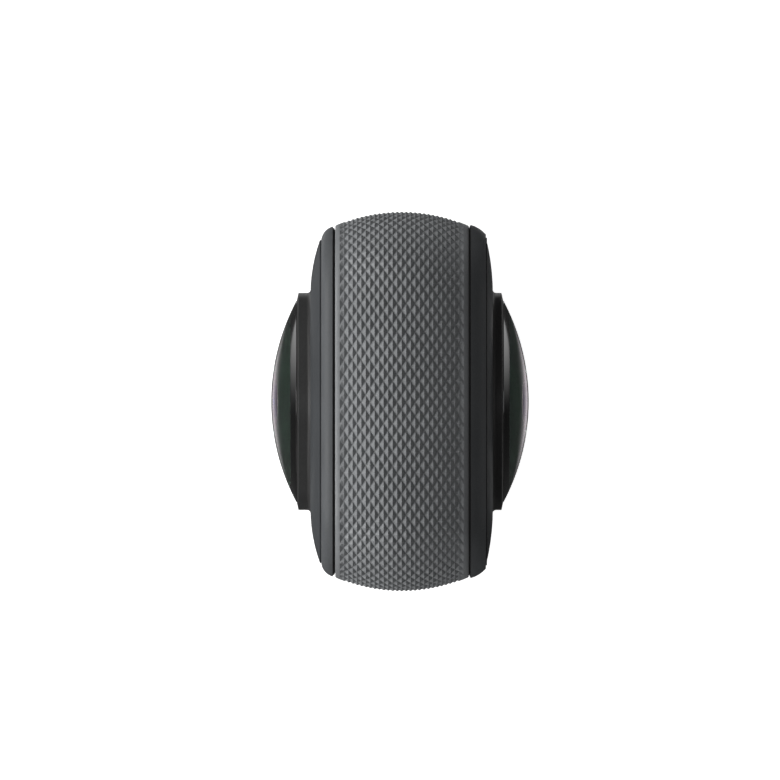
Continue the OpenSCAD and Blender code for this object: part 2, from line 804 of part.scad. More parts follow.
// Front face plate with the screen's window and the button holes
module front_face()
  stand()
    color("#4a4c4e")
      difference() {
        face_blank(corner_r - front_face_inset, front_face_drop);
        post(0, lens_y, floor_z - over, face_z + over, ring_sleeve_r() + fit);
        translate([0, screen_mid, 0])
          rounded_block(screen_w + 2 * fit, screen_h + 2 * fit, screen_r, floor_z - over, face_z + over);
        for (b = [[-button_x, shutter_r], [button_x, menu_r]]) {
          post(b[0], button_y, floor_z - over, face_z + over, b[1] + slip);
          post(b[0], button_y, floor_z - over, cap_z + button_flange_t + fit, b[1] + button_flange + slip);
        }
        post(mic_x, mic_y, floor_z - over, face_z + over, mic_r);
        post(-mic_x, mic_y, floor_z - over, face_z + over, light_r + fit);
      }

// Rear face plate with its grip grooves
module rear_face()
  stand()
    color("#4a4c4e")
      at_rear()
        difference() {
          face_blank(corner_r - rear_face_inset, rear_face_drop);
          post(0, lens_y, floor_z - over, face_z + over, ring_sleeve_r() + fit);
          for (k = [0:groove_count - 1])
            translate([(k - (groove_count - 1) / 2) * groove_pitch, groove_y + groove_len / 2, 0])
              box(-groove_w / 2, groove_w / 2, -groove_len / 2, groove_len / 2,
                face_z - groove_d, face_z + over);
          for (p = boss_spots)
            post(p[0], p[1], floor_z - over, floor_z + head_h + fit, head_r + slip);
          post(mic_x, mic_y, floor_z - over, face_z + over, mic_r);
          post(-mic_x, mic_y, floor_z - over, face_z + over, light_r + fit);
        }

// Outer radius of the lens ring's sleeve through the face plate
function ring_sleeve_r() = (ring_r + bezel_r + slip) / 2;

// Lens ring that stands on a face plate, side is 1 at the front and -1 at the rear
module lens_ring(side) {
  seat = face_z - side * lens_shift;
  foot = floor_z - side * lens_shift;
  top = face_z + ring_h;
  rotate_extrude()
    polygon([
      [bezel_r + fit, foot],
      [ring_sleeve_r(), foot],
      [ring_sleeve_r(), seat],
      [ring_r, seat],
      [ring_r, top - ring_chamfer],
      [ring_r - ring_chamfer, top],
      [bezel_r + fit, top]
    ]);
}

module front_lens_ring() stand() color("#3c3e40") optic(false) lens_ring(1);

module rear_lens_ring() stand() color("#3c3e40") optic(true) lens_ring(-1);

// Gloss bezel that holds the dome lens, flush with its sphere
module lens_bezel()
  rotate_extrude()
    difference() {
      intersection() {
        translate([0, dome_c])
          circle(r = dome_r);
        translate([barrel_r + slip, flange_z])
          square([bezel_r - barrel_r - slip, dome_top - flange_z]);
      }
      translate([0, seat_z - lens_seal_t])
        square([dome_rim_r + fit, dome_top]);
    }

module front_lens_bezel() stand() color("#0c0c0d") optic(false) lens_bezel();

module rear_lens_bezel() stand() color("#0c0c0d") optic(true) lens_bezel();

// Dome lens of even thickness
module dome_lens()
  rotate_extrude()
    difference() {
      intersection() {
        translate([0, dome_c])
          circle(r = dome_r);
        translate([0, seat_z])
          square([dome_rim_r, dome_top]);
      }
      translate([0, dome_c])
        circle(r = dome_r - dome_t);
    }

module front_dome_lens() stand() color("#a8b4ae") optic(false) dome_lens();

module rear_dome_lens() stand() color("#a8b4ae") optic(true) dome_lens();

// Seal between the dome lens and the bezel's seat
module lens_seal()
  rotate_extrude()
    translate([max(dome_in_r, barrel_r + slip), seat_z - lens_seal_t])
      square([dome_rim_r - max(dome_in_r, barrel_r + slip), lens_seal_t]);

module front_lens_seal() stand() color("#161616") optic(false) lens_seal();

module rear_lens_seal() stand() color("#161616") optic(true) lens_seal();

// Inner lens with a straight edge below its cap
module inner_lens()
  rotate_extrude()
    intersection() {
      translate([0, inner_c])
        circle(r = inner_sphere_r);
      translate([0, inner_z])
        square([inner_lens_r, inner_sphere_r]);
    }

module front_inner_lens() stand() color("#8c7c80") optic(false) inner_lens();

module rear_inner_lens() stand() color("#8c7c80") optic(true) inner_lens();

// Lens barrel with its flange, a seat for the inner lens and a light box
module lens_barrel()
  difference() {
    rotate_extrude()
      polygon([
        [barrel_bore_r, inner_z],
        [inner_lens_r + fit, inner_z],
        [inner_lens_r + fit, barrel_top],
        [barrel_r, barrel_top - barrel_fall],
        [barrel_r, flange_z],
        [flange_r, flange_z],
        [flange_r, mount_half],
        [barrel_r, mount_half],
        [barrel_r, barrel_z],
        [light_box_r, barrel_z],
        [light_box_r, flange_z],
        [barrel_bore_r, flange_z]
      ]);
    for (a = [90, 210, 330])
      post(lens_screw_r * cos(a), lens_screw_r * sin(a), mount_half - over, flange_z + over, screw_r + fit);
  }

module front_lens_barrel() stand() color("#1c1d1e") optic(false) lens_barrel();

module rear_lens_barrel() stand() color("#1c1d1e") optic(true) mirror([1, 0, 0]) lens_barrel();

// Sensor board with its chip, standing on the heat spreader
module sensor_board() {
  box(-sensor_board_w / 2, sensor_board_w / 2, -sensor_board_w / 2, sensor_board_w / 2,
    spreader_t / 2, chip_z);
  box(-sensor_w / 2, sensor_w / 2, -sensor_w / 2, sensor_w / 2, chip_z, chip_z + sensor_t);
}

module front_sensor_board() stand() color("#1f5a3c") optic(false) sensor_board();

module rear_sensor_board() stand() color("#1f5a3c") optic(true) sensor_board();

// Flex from a sensor board's edge down to the main board
module sensor_flex(x0, z, y)
  translate([x0, 0, 0])
    rotate([0, 90, 0])
      linear_extrude(flex_w)
        polygon([
          [-z, lens_y - sensor_board_w / 2],
          [-z, y],
          [-board_z0, y],
          [-board_z0, flex_end_y],
          [flex_t - board_z0, flex_end_y],
          [flex_t - board_z0, y - flex_t],
          [-z + flex_t, y - flex_t],
          [-z + flex_t, lens_y - sensor_board_w / 2]
        ]);

module front_sensor_flex()
  stand()
    color("#b8702c")
      sensor_flex(-flex_w - fit, lens_shift + chip_z - 2 * fit, flex_turn_y);

module rear_sensor_flex()
  stand()
    color("#b8702c")
      sensor_flex(fit, lens_shift - spreader_t / 2 - flex_t, flex_turn_y);

// Heat spreader between the two sensor boards
module heat_spreader()
  stand()
    color("#b87850")
      translate([0, lens_y, lens_shift - spreader_t / 2])
        cylinder(h = spreader_t, r = bore_r - fit);

// One screw with its head at the top, its shank down to a length
module screw(len) {
  difference() {
    cylinder(h = head_h, r = head_r);
    translate([0, 0, head_h / 2])
      cylinder(h = head_h, r = head_r / 2, $fn = 6);
  }
  translate([0, 0, -len])
    cylinder(h = len, r = screw_r);
}

// Screws that hold both lens barrels to the frame
module lens_screws()
  stand()
    color("#9a9a96")
      for (rear = [false, true], a = [90, 210, 330])
        optic(rear)
          translate([(rear ? -1 : 1) * lens_screw_r * cos(a), lens_screw_r * sin(a), flange_z])
            screw(flange_t + lens_screw_len);

// Cover glass of the touch screen
module screen_glass()
  stand()
    color("#0a0b0c")
      translate([0, screen_mid, 0])
        rounded_block(screen_w, screen_h, screen_r, face_z - fit - glass_t, face_z - fit);

// Display panel between the glass and the shell's floor
module display_panel()
  stand()
    color("#16202a")
      translate([0, screen_mid, 0])
        rounded_block(screen_w - 2 * panel_margin, screen_h - 2 * panel_margin, panel_r, floor_z,
          face_z - fit - glass_t);

// Flex from the display panel down to the main board
module display_flex()
  stand()
    color("#b8702c")
      box(-display_flex_w / 2, display_flex_w / 2, flex_y, flex_y + flex_t, board_z1, floor_z);

// Front button: cap, hidden flange and plunger
module front_button(r) {
  difference() {
    post(0, 0, cap_z, face_z + button_proud, r);
    post(0, 0, face_z + button_proud - button_dish, face_z + button_proud + over, r - button_lip);
  }
  post(0, 0, cap_z, cap_z + button_flange_t, r + button_flange);
  post(0, 0, plunger_z, cap_z + fit, plunger_r);
}

module shutter_button() stand() color("#2c2d2f") translate([-button_x, button_y, 0]) front_button(shutter_r);

module menu_button() stand() color("#2c2d2f") translate([button_x, button_y, 0]) front_button(menu_r);

// Board with two dome switches under the front buttons
module front_button_board()
  stand()
    color("#1f5a3c")
      union() {
        box(-button_x - shutter_r - board_margin, button_x + shutter_r + board_margin,
          button_y - shutter_r, button_y + shutter_r,
          front_board_z - button_board_t, front_board_z);
        for (s = [-1, 1])
          post(s * button_x, button_y, front_board_z, front_board_z + switch_h, switch_r);
      }

// Smooth crowned panel with the holes of the side buttons
module button_panel()
  stand()
    color("#3c3e40")
      difference() {
        crown_block(side_panel_y, side_panel_y1, band_u, side_panel_w / 2, -side_panel_low);
        for (b = [[power_y, power_len], [quick_y, quick_len]]) {
          side_pill(b[0], b[1] + 2 * slip, side_button_r + slip, band_in - over, half_w + over);
          side_pill(b[0], b[1] + 2 * (slip + button_flange), side_button_r + slip + button_flange,
            band_in - over, cap_x + button_flange_t + fit);
        }
      }

// Side button: crowned cap, hidden flange and plunger
module side_button(y, len) {
  intersection() {
    side_pill(y, len, side_button_r, cap_x, half_w + over);
    crown_block(y - len, y + len, frame_u0, side_panel_w / 2, side_proud);
  }
  side_pill(y, len + 2 * button_flange, side_button_r + button_flange, cap_x, cap_x + button_flange_t);
  side_post(plunger_x, cap_x + fit, y, 0, plunger_r);
}

module power_button() stand() color("#2c2d2f") side_button(power_y, power_len);

module quick_button() stand() color("#2c2d2f") side_button(quick_y, quick_len);

// Board with two dome switches under the side buttons
module side_button_board()
  stand()
    color("#1f5a3c")
      union() {
        box(side_board_x - button_board_t, side_board_x, side_panel_y + fit, side_panel_y1 - fit,
          -side_board_w / 2, side_board_w / 2);
        for (y = [power_y, quick_y])
          side_post(side_board_x, side_board_x + switch_h, y, 0, switch_r);
      }

// Door over the cable port, with its hinge barrels
module cable_door()
  stand()
    color("#525456")
      difference() {
        intersection() {
          at_left()
            crown_block(hinge_y - 2 * hinge_d, door_y1, frame_u0, cover_half, -cover_low);
          union() {
            box(-half_w - over, -skin_in, hinge_y, door_y1, -cover_half, cover_half);
            post(-hinge_x, hinge_y, -cover_half, cover_half, hinge_d);
          }
        }
        for (s = [-1, 1])
          box(-half_w - over, -frame_u0, hinge_y - 2 * hinge_d, hinge_y + hinge_d,
            s * ear_z - ear_t / 2 - slip, s * ear_z + ear_t / 2 + slip);
        post(-hinge_x, hinge_y, -ear_z - 2 * ear_t, ear_z + 2 * ear_t, pin_r + pin_slip);
      }

// Hinge pin of the door
module door_pin()
  stand()
    color("#b0b0ac")
      post(-hinge_x, hinge_y, -ear_z - ear_t / 2 - pin_end, ear_z + ear_t / 2 + pin_end, pin_r);

// Rubber plug on the inside of the door
module door_seal()
  stand()
    color("#1a1a1a")
      difference() {
        translate([0, port_y, port_z])
          rotate([0, 90, 0])
            rounded_block(seal_z, seal_y, seal_z / 2 - fit, -skin_in, door_seal_t - skin_in);
        translate([0, port_y, port_z])
          rotate([0, 90, 0])
            rounded_block(seal_z - 2 * seal_wall, seal_y - 2 * seal_wall, seal_z / 2 - seal_wall - fit,
              seal_wall - skin_in, over - skin_in + door_seal_t);
      }

// Cable port with its shell, back wall and tongue
module cable_port()
  stand()
    color("#a8a8a4")
      translate([0, port_y, port_z])
        rotate([0, 90, 0])
          union() {
            difference() {
              rounded_block(port_h, port_w, port_h / 2 - fit, -port_x, port_len - port_x);
              rounded_block(port_h - 2 * port_wall, port_w - 2 * port_wall, port_h / 2 - port_wall - fit,
                -port_x - over, port_len - port_x - port_back);
            }
            box(-tongue_t / 2, tongue_t / 2, tongue_side - port_w / 2, port_w / 2 - tongue_side,
              tongue_in - port_x, port_len - port_x - port_back + 2 * fit);
          }

// Battery pack with recesses for its terminals
module battery_pack()
  stand()
    color("#2a2b2c")
      difference() {
        box(-skin_in, pack_x1, pack_y0, pack_y1, pack_z0, pack_z1);
        contact_pads(fit);
      }

// Places of the terminals on the end of the pack
module contact_pads(gap)
  for (k = [0:contact_count - 1])
    translate([0, cover_mid + (k - (contact_count - 1) / 2) * contact_pitch, bay_mid_z])
      box(pack_x1 - pad_t, pack_x1 + gap, -pad_h / 2 - gap, pad_h / 2 + gap,
        -pad_w / 2 - gap, pad_w / 2 + gap);

module battery_terminals() stand() color("#c8a850") contact_pads(0);

// Cover of the battery that closes its window, with a tray and a channel for each latch
module battery_cover()
  stand()
    color("#626466")
      difference() {
        at_left()
          crown_block(cover_y0, cover_y1, skin_in - core_x, cover_half, -cover_low);
        both_ends() {
          box(-half_w - over, -tray_x, thumb_y0 - slip, tray_y1, -thumb_w / 2 - slip, thumb_w / 2 + slip);
          box(-bolt_x1 - slip, -skin_in + over, thumb_y0 - slip, cover_y1 + over,
            -bolt_w / 2 - slip, bolt_w / 2 + slip);
        }
      }

// Draws a piece at the upper end of the battery's cover and mirrored at the lower end
module both_ends() {
  children();
  at_foot() children();
}

// Mirrors a piece to the lower end of the battery's cover
module at_foot()
  translate([0, 2 * cover_mid, 0])
    mirror([0, 1, 0])
      children();

// Latch with a ridged thumb piece and a tongue that locks into the band
module latch()
  difference() {
    union() {
      box(thumb_low - half_w, -thumb_x, thumb_y0, thumb_y1, -thumb_w / 2, thumb_w / 2);
      box(-bolt_x1, -bolt_x0, thumb_y0, cover_y1 - slip / 2, -bolt_w / 2, bolt_w / 2);
    }
    for (k = [1:3])
      box(-half_w, thumb_low + ridge_d - half_w, thumb_y0 + k * thumb_len / 4 - ridge_w / 2,
        thumb_y0 + k * thumb_len / 4 + ridge_w / 2, -thumb_w, thumb_w);
    difference() {
      box(-half_w - over, -thumb_x - fit, thumb_y0 - over, thumb_y1 + over, -thumb_w, thumb_w);
      at_left()
        crown_block(thumb_y0 - 2 * over, thumb_y1 + 2 * over, frame_u0, thumb_w + over, -thumb_low);
    }
  }

module upper_latch() stand() color("#8a8c8e") latch();

module lower_latch() stand() color("#8a8c8e") at_foot() latch();

// Seal round the pack behind its cover
module battery_seal()
  stand()
    color("#1a1a1a")
      difference() {
        box(-skin_in, pack_seal_len - skin_in, pack_y0 - pack_seal_t, pack_y1 + pack_seal_t,
          pack_z0 - pack_seal_t, pack_z1 + pack_seal_t);
        box(-half_w, half_w, pack_y0, pack_y1, pack_z0, pack_z1);
      }

// Contact block behind the bay, with its pins through the wall
module contact_block()
  stand()
    color("#30281c")
      union() {
        box(bay_x1 + bay_wall, bay_x1 + bay_wall + block_t, cover_mid - contact_count * contact_pitch / 2,
          cover_mid + contact_count * contact_pitch / 2, bay_mid_z - block_w / 2, bay_mid_z + block_w / 2);
        for (k = [0:contact_count - 1])
          side_post(pack_x1 + 2 * fit, bay_x1 + bay_wall + fit,
            cover_mid + (k - (contact_count - 1) / 2) * contact_pitch, bay_mid_z, contact_r);
      }

// Main board with an ear beside the cable port
module main_board()
  stand()
    color("#1f5a3c")
      union() {
        box(-board_x, board_x, board_y0, board_y1, board_z0, board_z1);
        box(-board_x, port_len - port_x, board_y1 - over, port_y + port_w / 2, board_z0, board_z1);
      }

// Shield can over the chips on the front of the main board
module shield_can()
  stand()
    color("#a8a8a4")
      difference() {
        box(can_side - board_x, board_x - can_side, board_y0 + can_low, board_y1 - can_high,
          board_z1, board_z1 + can_h);
        box(can_side + can_wall - board_x, board_x - can_side - can_wall, board_y0 + can_low + can_wall,
          board_y1 - can_high - can_wall, board_z1 - over, board_z1 + can_h - can_wall);
      }

// Card socket on the back of the main board, open to the battery bay
module card_socket()
  stand()
    color("#b0b0ac")
      difference() {
        box(card_x, card_x + card_w, card_y0, card_y0 + card_len, board_z0 - card_t, board_z0);
        box(card_x + card_wall, card_x + card_w - card_wall, card_y0 - over,
          card_y0 + card_len - card_back, card_slot_z, card_slot_z + card_slot_t);
      }

// Speaker over the sound holes in the base
module speaker()
  stand()
    color("#202022")
      difference() {
        box(speaker_x, speaker_x + speaker_w, speaker_y, speaker_y + speaker_h,
          -speaker_d / 2, speaker_d / 2);
        translate([speaker_x + speaker_w / 2, speaker_y - over, 0])
          rotate([-90, 0, 0])
            cylinder(h = over + sound_rim, r = speaker_w / 2 - sound_rim);
      }

// Microphones behind the front and the rear shell
module microphones()
  stand()
    color("#b0a888")
      for (a = [0, 180])
        rotate([0, a, 0])
          box(mic_x - mic_w / 2, mic_x + mic_w / 2, mic_y - mic_h / 2, mic_y + mic_h / 2,
            shell_z - mic_t, shell_z);

// Light pipes through the front and the rear face plate
module light_pipes()
  stand()
    color("#d8dcd8")
      union() {
        post(-mic_x, mic_y, shell_z, face_z + fit, light_r);
        at_rear()
          post(-mic_x, mic_y, shell_z, face_z + fit, light_r);
      }

// Tripod nut with its blind thread
module tripod_nut()
  stand()
    color("#b8b8b4")
      translate([0, nut_recess, 0])
        rotate([-90, 0, 0])
          difference() {
            cylinder(h = thread_len + nut_cap, r = nut_r);
            translate([0, 0, -over])
              cylinder(h = thread_len + over, r = thread_r);
          }

// Screws that hold the base cap to the frame
module base_screws()
  stand()
    color("#9a9a96")
      for (p = base_screw_spots)
        translate([p[0], base_wall + base_boss_h, p[1]])
          rotate([90, 0, 0])
            difference() {
              cylinder(h = base_wall + base_boss_h - screw_low, r = screw_r);
              translate([0, 0, base_wall + base_boss_h - screw_low - hex_d])
                cylinder(h = over, r = screw_r / 2, $fn = 6);
            }

// Screws that hold the rear shell to the frame
module shell_screws()
  stand()
    color("#9a9a96")
      at_rear()
        for (p = boss_spots)
          translate([p[0], p[1], floor_z])
            screw(floor_t + gasket_t + boss_len - screw_tip);

mid_frame();
grip_band();
base_cap();
front_gasket();
rear_gasket();
front_shell();
rear_shell();
front_face();
rear_face();
front_lens_ring();
rear_lens_ring();
front_lens_bezel();
rear_lens_bezel();
front_dome_lens();
rear_dome_lens();
front_lens_seal();
rear_lens_seal();
front_inner_lens();
rear_inner_lens();
front_lens_barrel();
rear_lens_barrel();
front_sensor_board();
rear_sensor_board();
front_sensor_flex();
rear_sensor_flex();
heat_spreader();
lens_screws();
screen_glass();
display_panel();
display_flex();
shutter_button();
menu_button();
front_button_board();
button_panel();
power_button();
quick_button();
side_button_board();
cable_door();
door_pin();
door_seal();
cable_port();
battery_pack();
battery_cover();
battery_seal();
battery_terminals();
upper_latch();
lower_latch();
contact_block();
main_board();
shield_can();
card_socket();
speaker();
microphones();
light_pipes();
tripod_nut();
base_screws();
shell_screws();
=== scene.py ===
# %% [markdown]
# # A bar-shaped 360 degree camera, seen from straight above
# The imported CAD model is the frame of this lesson: every piece of it already stands in its place, in metres,
# with the base on the floor, the screen towards -Y and a fisheye lens on each face. The lesson dresses that
# frame. Where the CAD shape is right, the piece only gets a better material. Where the real camera has a
# finer form, such as the diamonds of its grip, a new surface is computed with numpy and takes its place.

# %% Load the frame
import json
import math

import bpy
import numpy as np
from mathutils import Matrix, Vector


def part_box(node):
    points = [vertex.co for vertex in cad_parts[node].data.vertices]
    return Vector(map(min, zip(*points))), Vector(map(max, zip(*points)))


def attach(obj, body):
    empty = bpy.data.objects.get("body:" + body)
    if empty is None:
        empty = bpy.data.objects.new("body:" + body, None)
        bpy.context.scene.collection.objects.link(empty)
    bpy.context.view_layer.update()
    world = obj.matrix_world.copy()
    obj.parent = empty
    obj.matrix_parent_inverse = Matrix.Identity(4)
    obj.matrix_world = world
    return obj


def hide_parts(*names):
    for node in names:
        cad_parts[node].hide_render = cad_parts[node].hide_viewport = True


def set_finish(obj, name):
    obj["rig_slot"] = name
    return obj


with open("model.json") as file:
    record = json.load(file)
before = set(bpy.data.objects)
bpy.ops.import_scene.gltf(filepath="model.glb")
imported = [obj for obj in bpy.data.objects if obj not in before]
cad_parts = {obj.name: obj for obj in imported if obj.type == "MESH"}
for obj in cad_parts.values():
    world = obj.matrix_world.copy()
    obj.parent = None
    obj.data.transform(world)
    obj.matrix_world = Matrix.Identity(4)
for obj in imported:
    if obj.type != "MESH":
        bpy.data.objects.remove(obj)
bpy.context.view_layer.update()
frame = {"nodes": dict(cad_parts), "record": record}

nodes = frame["nodes"]
scene = bpy.context.scene

# %% [markdown]
# The sizes that the new surfaces share with the CAD model. The body is a rounded rectangle seen from the
# front, and its edge is a crowned band, so two radii and the centres of the corners describe it. The band's
# middle lies 0.2 mm behind the middle of the two lenses.

# %% Shared sizes
MM = 0.001
TINY = 1e-6
BAND_Y = 0.2
CORE_X, FOOT_Z, TOP_Z = 13.0, 8.4, 104.0
CORNER_R, CROWN_R, BAND_HALF = 10.0, 20.0, 8.15
LENS_Z = 91.0
SIDE_LEN = TOP_Z - FOOT_Z
ARC_LEN = CORNER_R * math.pi / 2
PATH_LEN = 2 * SIDE_LEN + 2 * ARC_LEN + 2 * CORE_X
print("length of the grip band in mm:", round(PATH_LEN, 2))

# %% [markdown]
# Two small helpers turn arrays into pieces. A mesh is written at once from its arrays, it rides on the body
# that carries it on the real camera, and it says which material slot of the part it belongs to.

# %% Helpers that make pieces
def piece(name, points, faces, body, slot, smooth=True):
    """A mesh object from points in millimetres and lists of corners, carried by a body of the camera. smooth
    is one flag, or one for each face."""
    mesh = bpy.data.meshes.new(name)
    mesh.from_pydata((np.asarray(points) * MM).tolist(), [], faces)
    mesh.polygons.foreach_set("use_smooth", np.broadcast_to(smooth, len(mesh.polygons)).tolist())
    mesh.update()
    obj = bpy.data.objects.new(name, mesh)
    scene.collection.objects.link(obj)
    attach(obj, body)
    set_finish(obj, slot)
    print(f"{name}: {len(mesh.vertices)} points, {len(mesh.polygons)} faces")
    return obj


def grid_faces(rows, columns, close_rows=False, close_columns=False):
    """Corners of the quads of a grid, as an array. A closed direction joins its last line to its first."""
    i = np.arange(rows if close_rows else rows - 1)
    j = np.arange(columns if close_columns else columns - 1)
    i, j = np.meshgrid(i, j, indexing="ij")
    i1, j1 = (i + 1) % rows, (j + 1) % columns
    quads = np.stack([i * columns + j, i1 * columns + j, i1 * columns + j1, i * columns + j1], -1)
    return quads.reshape(-1, 4)


print("quads of a grid of 3 by 4 points:", len(grid_faces(3, 4)))

# %% [markdown]
# ## The grip band
# The band is moulded in one piece over both sides and the top. Diamonds in staggered columns cover it
# between two plain edges. They could be bumps in the shader, but the photo shows them breaking the outline,
# so they are cut into the surface. The band is unrolled: one parameter runs along the outline, the other
# across the crown.

# %% The outline and the crown as functions
def outline(s):
    """Point and outward direction at length s of the outline: up the left side, round the corner, along the
    top, round the other corner and down the right side."""
    s = np.asarray(s, float)
    turn1 = np.clip((s - SIDE_LEN) / ARC_LEN, 0, 1)
    turn2 = np.clip((s - SIDE_LEN - ARC_LEN - 2 * CORE_X) / ARC_LEN, 0, 1)
    angle = math.pi - (turn1 + turn2) * math.pi / 2
    out = np.stack([np.cos(angle), np.sin(angle)], -1)
    along_top = np.clip(s - SIDE_LEN - ARC_LEN, 0, 2 * CORE_X)
    left = np.clip(s, 0, SIDE_LEN)
    right = np.clip(s - SIDE_LEN - 2 * ARC_LEN - 2 * CORE_X, 0, SIDE_LEN)
    centre = np.stack([along_top - CORE_X, FOOT_Z + left - right], -1)
    return centre, out


def band_points(s, t, height):
    """Points of the band at length s of the outline and t across it. The crown is a circle, so its middle
    falls by its radius times one minus the cosine, and the height is added along the outward direction."""
    centre, out = outline(s)
    reach = CORNER_R - CROWN_R * (1 - np.cos(t / CROWN_R)) + height
    xz = centre + out * reach[..., None]
    return np.stack([xz[..., 0], BAND_Y + CROWN_R * np.sin(t / CROWN_R), xz[..., 1]], -1)


print("crown falls at the band's edge by mm:", round(CROWN_R - math.sqrt(CROWN_R**2 - BAND_HALF**2), 3))

# %% [markdown]
# One diamond is a low pyramid on a rhombus, and a narrow flat groove runs between the rhombuses. On a grid
# of half pitches the tips and the bottoms alternate like the fields of a chessboard. Each field of the grid
# is then two sloping triangles, one at each tip, with a strip of groove between them. The grid is shared, so
# the battery's cover and the cable door carry on the same pattern.

# %% The grid of half pitches
HALF_S, HALF_T = 0.852, 0.5465


def along_crown(y):
    """Length along the crown's arc at a distance y from the band's middle: the radius times the arcsine."""
    return CROWN_R * math.asin(y / CROWN_R)


def lattice_lines(low, high, step, marks):
    """Lines of the half-pitch grid between two ends, as positions and whole numbers. The line nearest to
    each mark is moved onto it, so that a window's edge lies on a line."""
    number = np.arange(math.ceil(low / step - 0.5), math.floor(high / step + 0.5) + 1)
    place = number * step
    for mark in [low, high, *marks]:
        place[np.argmin(np.abs(place - mark))] = mark
    return place, number


print("pitch of the diamonds in mm:", 2 * HALF_S, 2 * HALF_T)

# %% The points of a knurled skin
KNURL_H, GROOVE = 0.27, 0.10


def rim_points(s, t, height, deep, axis):
    """One point on each edge of the grid along an axis. Where one end is deep, the point lies as low as that
    end and a groove's width from it; elsewhere it is the edge's middle."""
    grids = (s, t, height, deep)
    s0, t0, h0, deep0 = (np.delete(g, -1, axis) for g in grids)
    s1, t1, h1, deep1 = (np.delete(g, 0, axis) for g in grids)
    share = np.where(deep0, GROOVE, np.where(deep1, 1 - GROOVE, 0.5))
    low = np.where(deep0 | deep1, np.minimum(h0, h1), (h0 + h1) / 2)
    return s0 + (s1 - s0) * share, t0 + (t1 - t0) * share, low


def skin_points(s, t, deep, fall, inside):
    """Points of the grid, of its edges down and across, and of the inner face, one set after the other. The
    deep ones lie a knurl's height lower, and fall lowers all at a rounded edge."""
    sg, tg = np.meshgrid(s, t, indexing="ij")
    height = -fall - KNURL_H * deep
    down = rim_points(sg, tg, height, deep, 0)
    across = rim_points(sg, tg, height, deep, 1)
    sets = [(sg, tg, height), down, across, (sg, tg, inside)]
    return np.concatenate([band_points(a.ravel(), b.ravel(), c.ravel()) for a, b, c in sets])


def set_starts(rows, columns):
    """Number of the first point of the edges down, of the edges across and of the inner face."""
    down = rows * columns
    across = down + (rows - 1) * columns
    return down, across, across + rows * (columns - 1)


print("height of a diamond and share of its groove:", KNURL_H, GROOVE)

# %% The faces of a knurled skin
def field_faces(tip, keep):
    """Faces of the kept fields: two triangles at their tips, the strip of groove between, the inner face."""
    columns = tip.shape[1]
    start_down, start_across, start_in = set_starts(*tip.shape)
    i, j = np.nonzero(keep)
    p00, p10 = i * columns + j, (i + 1) * columns + j
    p01, p11 = p00 + 1, p10 + 1
    left, right = start_down + i * columns + j, start_down + i * columns + j + 1
    foot, head = start_across + i * (columns - 1) + j, start_across + (i + 1) * (columns - 1) + j
    # points round each field, starting at a tip: tip, edge, bottom, edge, tip, edge, bottom, edge
    ring = np.where(
        tip[i, j][:, None],
        np.stack([p00, left, p10, head, p11, right, p01, foot], -1),
        np.stack([p10, head, p11, right, p01, foot, p00, left], -1),
    )
    tips = np.concatenate([ring[:, [0, 1, 7]], ring[:, [4, 5, 3]]])
    strips = ring[:, [1, 2, 3, 5, 6, 7]]
    base = start_in + np.stack([p00, p01, p11, p10], -1)
    return tips.tolist() + strips.tolist() + base.tolist()


def wall_faces(keep):
    """Walls where a kept field meets an empty one. Each has a grid point, the point on the edge and the next
    grid point above, and the inner face's points below, in the order that turns it outward."""
    columns = keep.shape[1] + 1
    start_down, start_across, start_in = set_starts(keep.shape[0] + 1, columns)
    wide = np.pad(keep, 1)
    here, before = wide[1:, 1:-1], wide[:-1, 1:-1]
    r, c = np.nonzero(here & ~before)
    walls = [(r * columns + c, start_across + r * (columns - 1) + c, r * columns + c + 1)]
    r, c = np.nonzero(before & ~here)
    walls.append((r * columns + c + 1, start_across + r * (columns - 1) + c, r * columns + c))
    here, before = wide[1:-1, 1:], wide[1:-1, :-1]
    r, c = np.nonzero(here & ~before)
    walls.append(((r + 1) * columns + c, start_down + r * columns + c, r * columns + c))
    r, c = np.nonzero(before & ~here)
    walls.append((r * columns + c, start_down + r * columns + c, (r + 1) * columns + c))
    rows = [np.stack([a, m, b, start_in + b, start_in + a], -1) for a, m, b in walls]
    return np.concatenate(rows).tolist()


print("walls round one field:", len(wall_faces(np.ones((1, 1), bool))))

# %% The skin as points and faces
def knurled_skin(s, s_number, t, t_number, plain, keep, fall, inside):
    """Closed skin with a knurled outside. plain marks grid points at the height of the tips, keep marks the
    fields that exist, fall lowers the surface at a rounded edge, and inside is the reach of the inner face.
    Fields with four plain corners and the inner face are shaded smooth. Points that no face uses are left
    out."""
    tip = (s_number[:, None] + t_number[None, :]) % 2 == 0
    points = skin_points(s, t, ~(tip | plain), fall, inside)
    faces = field_faces(tip, keep) + wall_faces(keep)
    even = (plain[:-1, :-1] & plain[1:, :-1] & plain[:-1, 1:] & plain[1:, 1:])[keep]
    smooth = np.zeros(len(faces), bool)
    smooth[:4 * len(even)] = np.concatenate([even, even, even, np.ones(len(even), bool)])
    used = np.unique(np.concatenate([np.asarray(f) for f in faces]))
    number = np.full(len(points), -1)
    number[used] = np.arange(len(used))
    return points[used], [number[f].tolist() for f in faces], smooth


line, level, fields = np.arange(3), np.zeros((3, 3)), np.ones((2, 2), bool)
trial = knurled_skin(line * HALF_S, line, line * HALF_T, line, level > 0, fields, level, level - 1)
print("a trial skin of four fields has points and faces:", len(trial[0]), len(trial[1]))

# %% [markdown]
# The band has three windows: the battery's and the cable door's on the left side, the button panel's on the
# right. Their edges come from the CAD pieces that fill them, with the gap that lets those pieces pass. Above
# and below the battery's window the inner face steps outward, as a pocket for each latch's tongue.

# %% The band's windows
def height_of(node, gap):
    """Lower and upper end of a CAD node in millimetres, with a gap round it."""
    low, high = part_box(node)
    return low.z / MM - gap, high.z / MM + gap


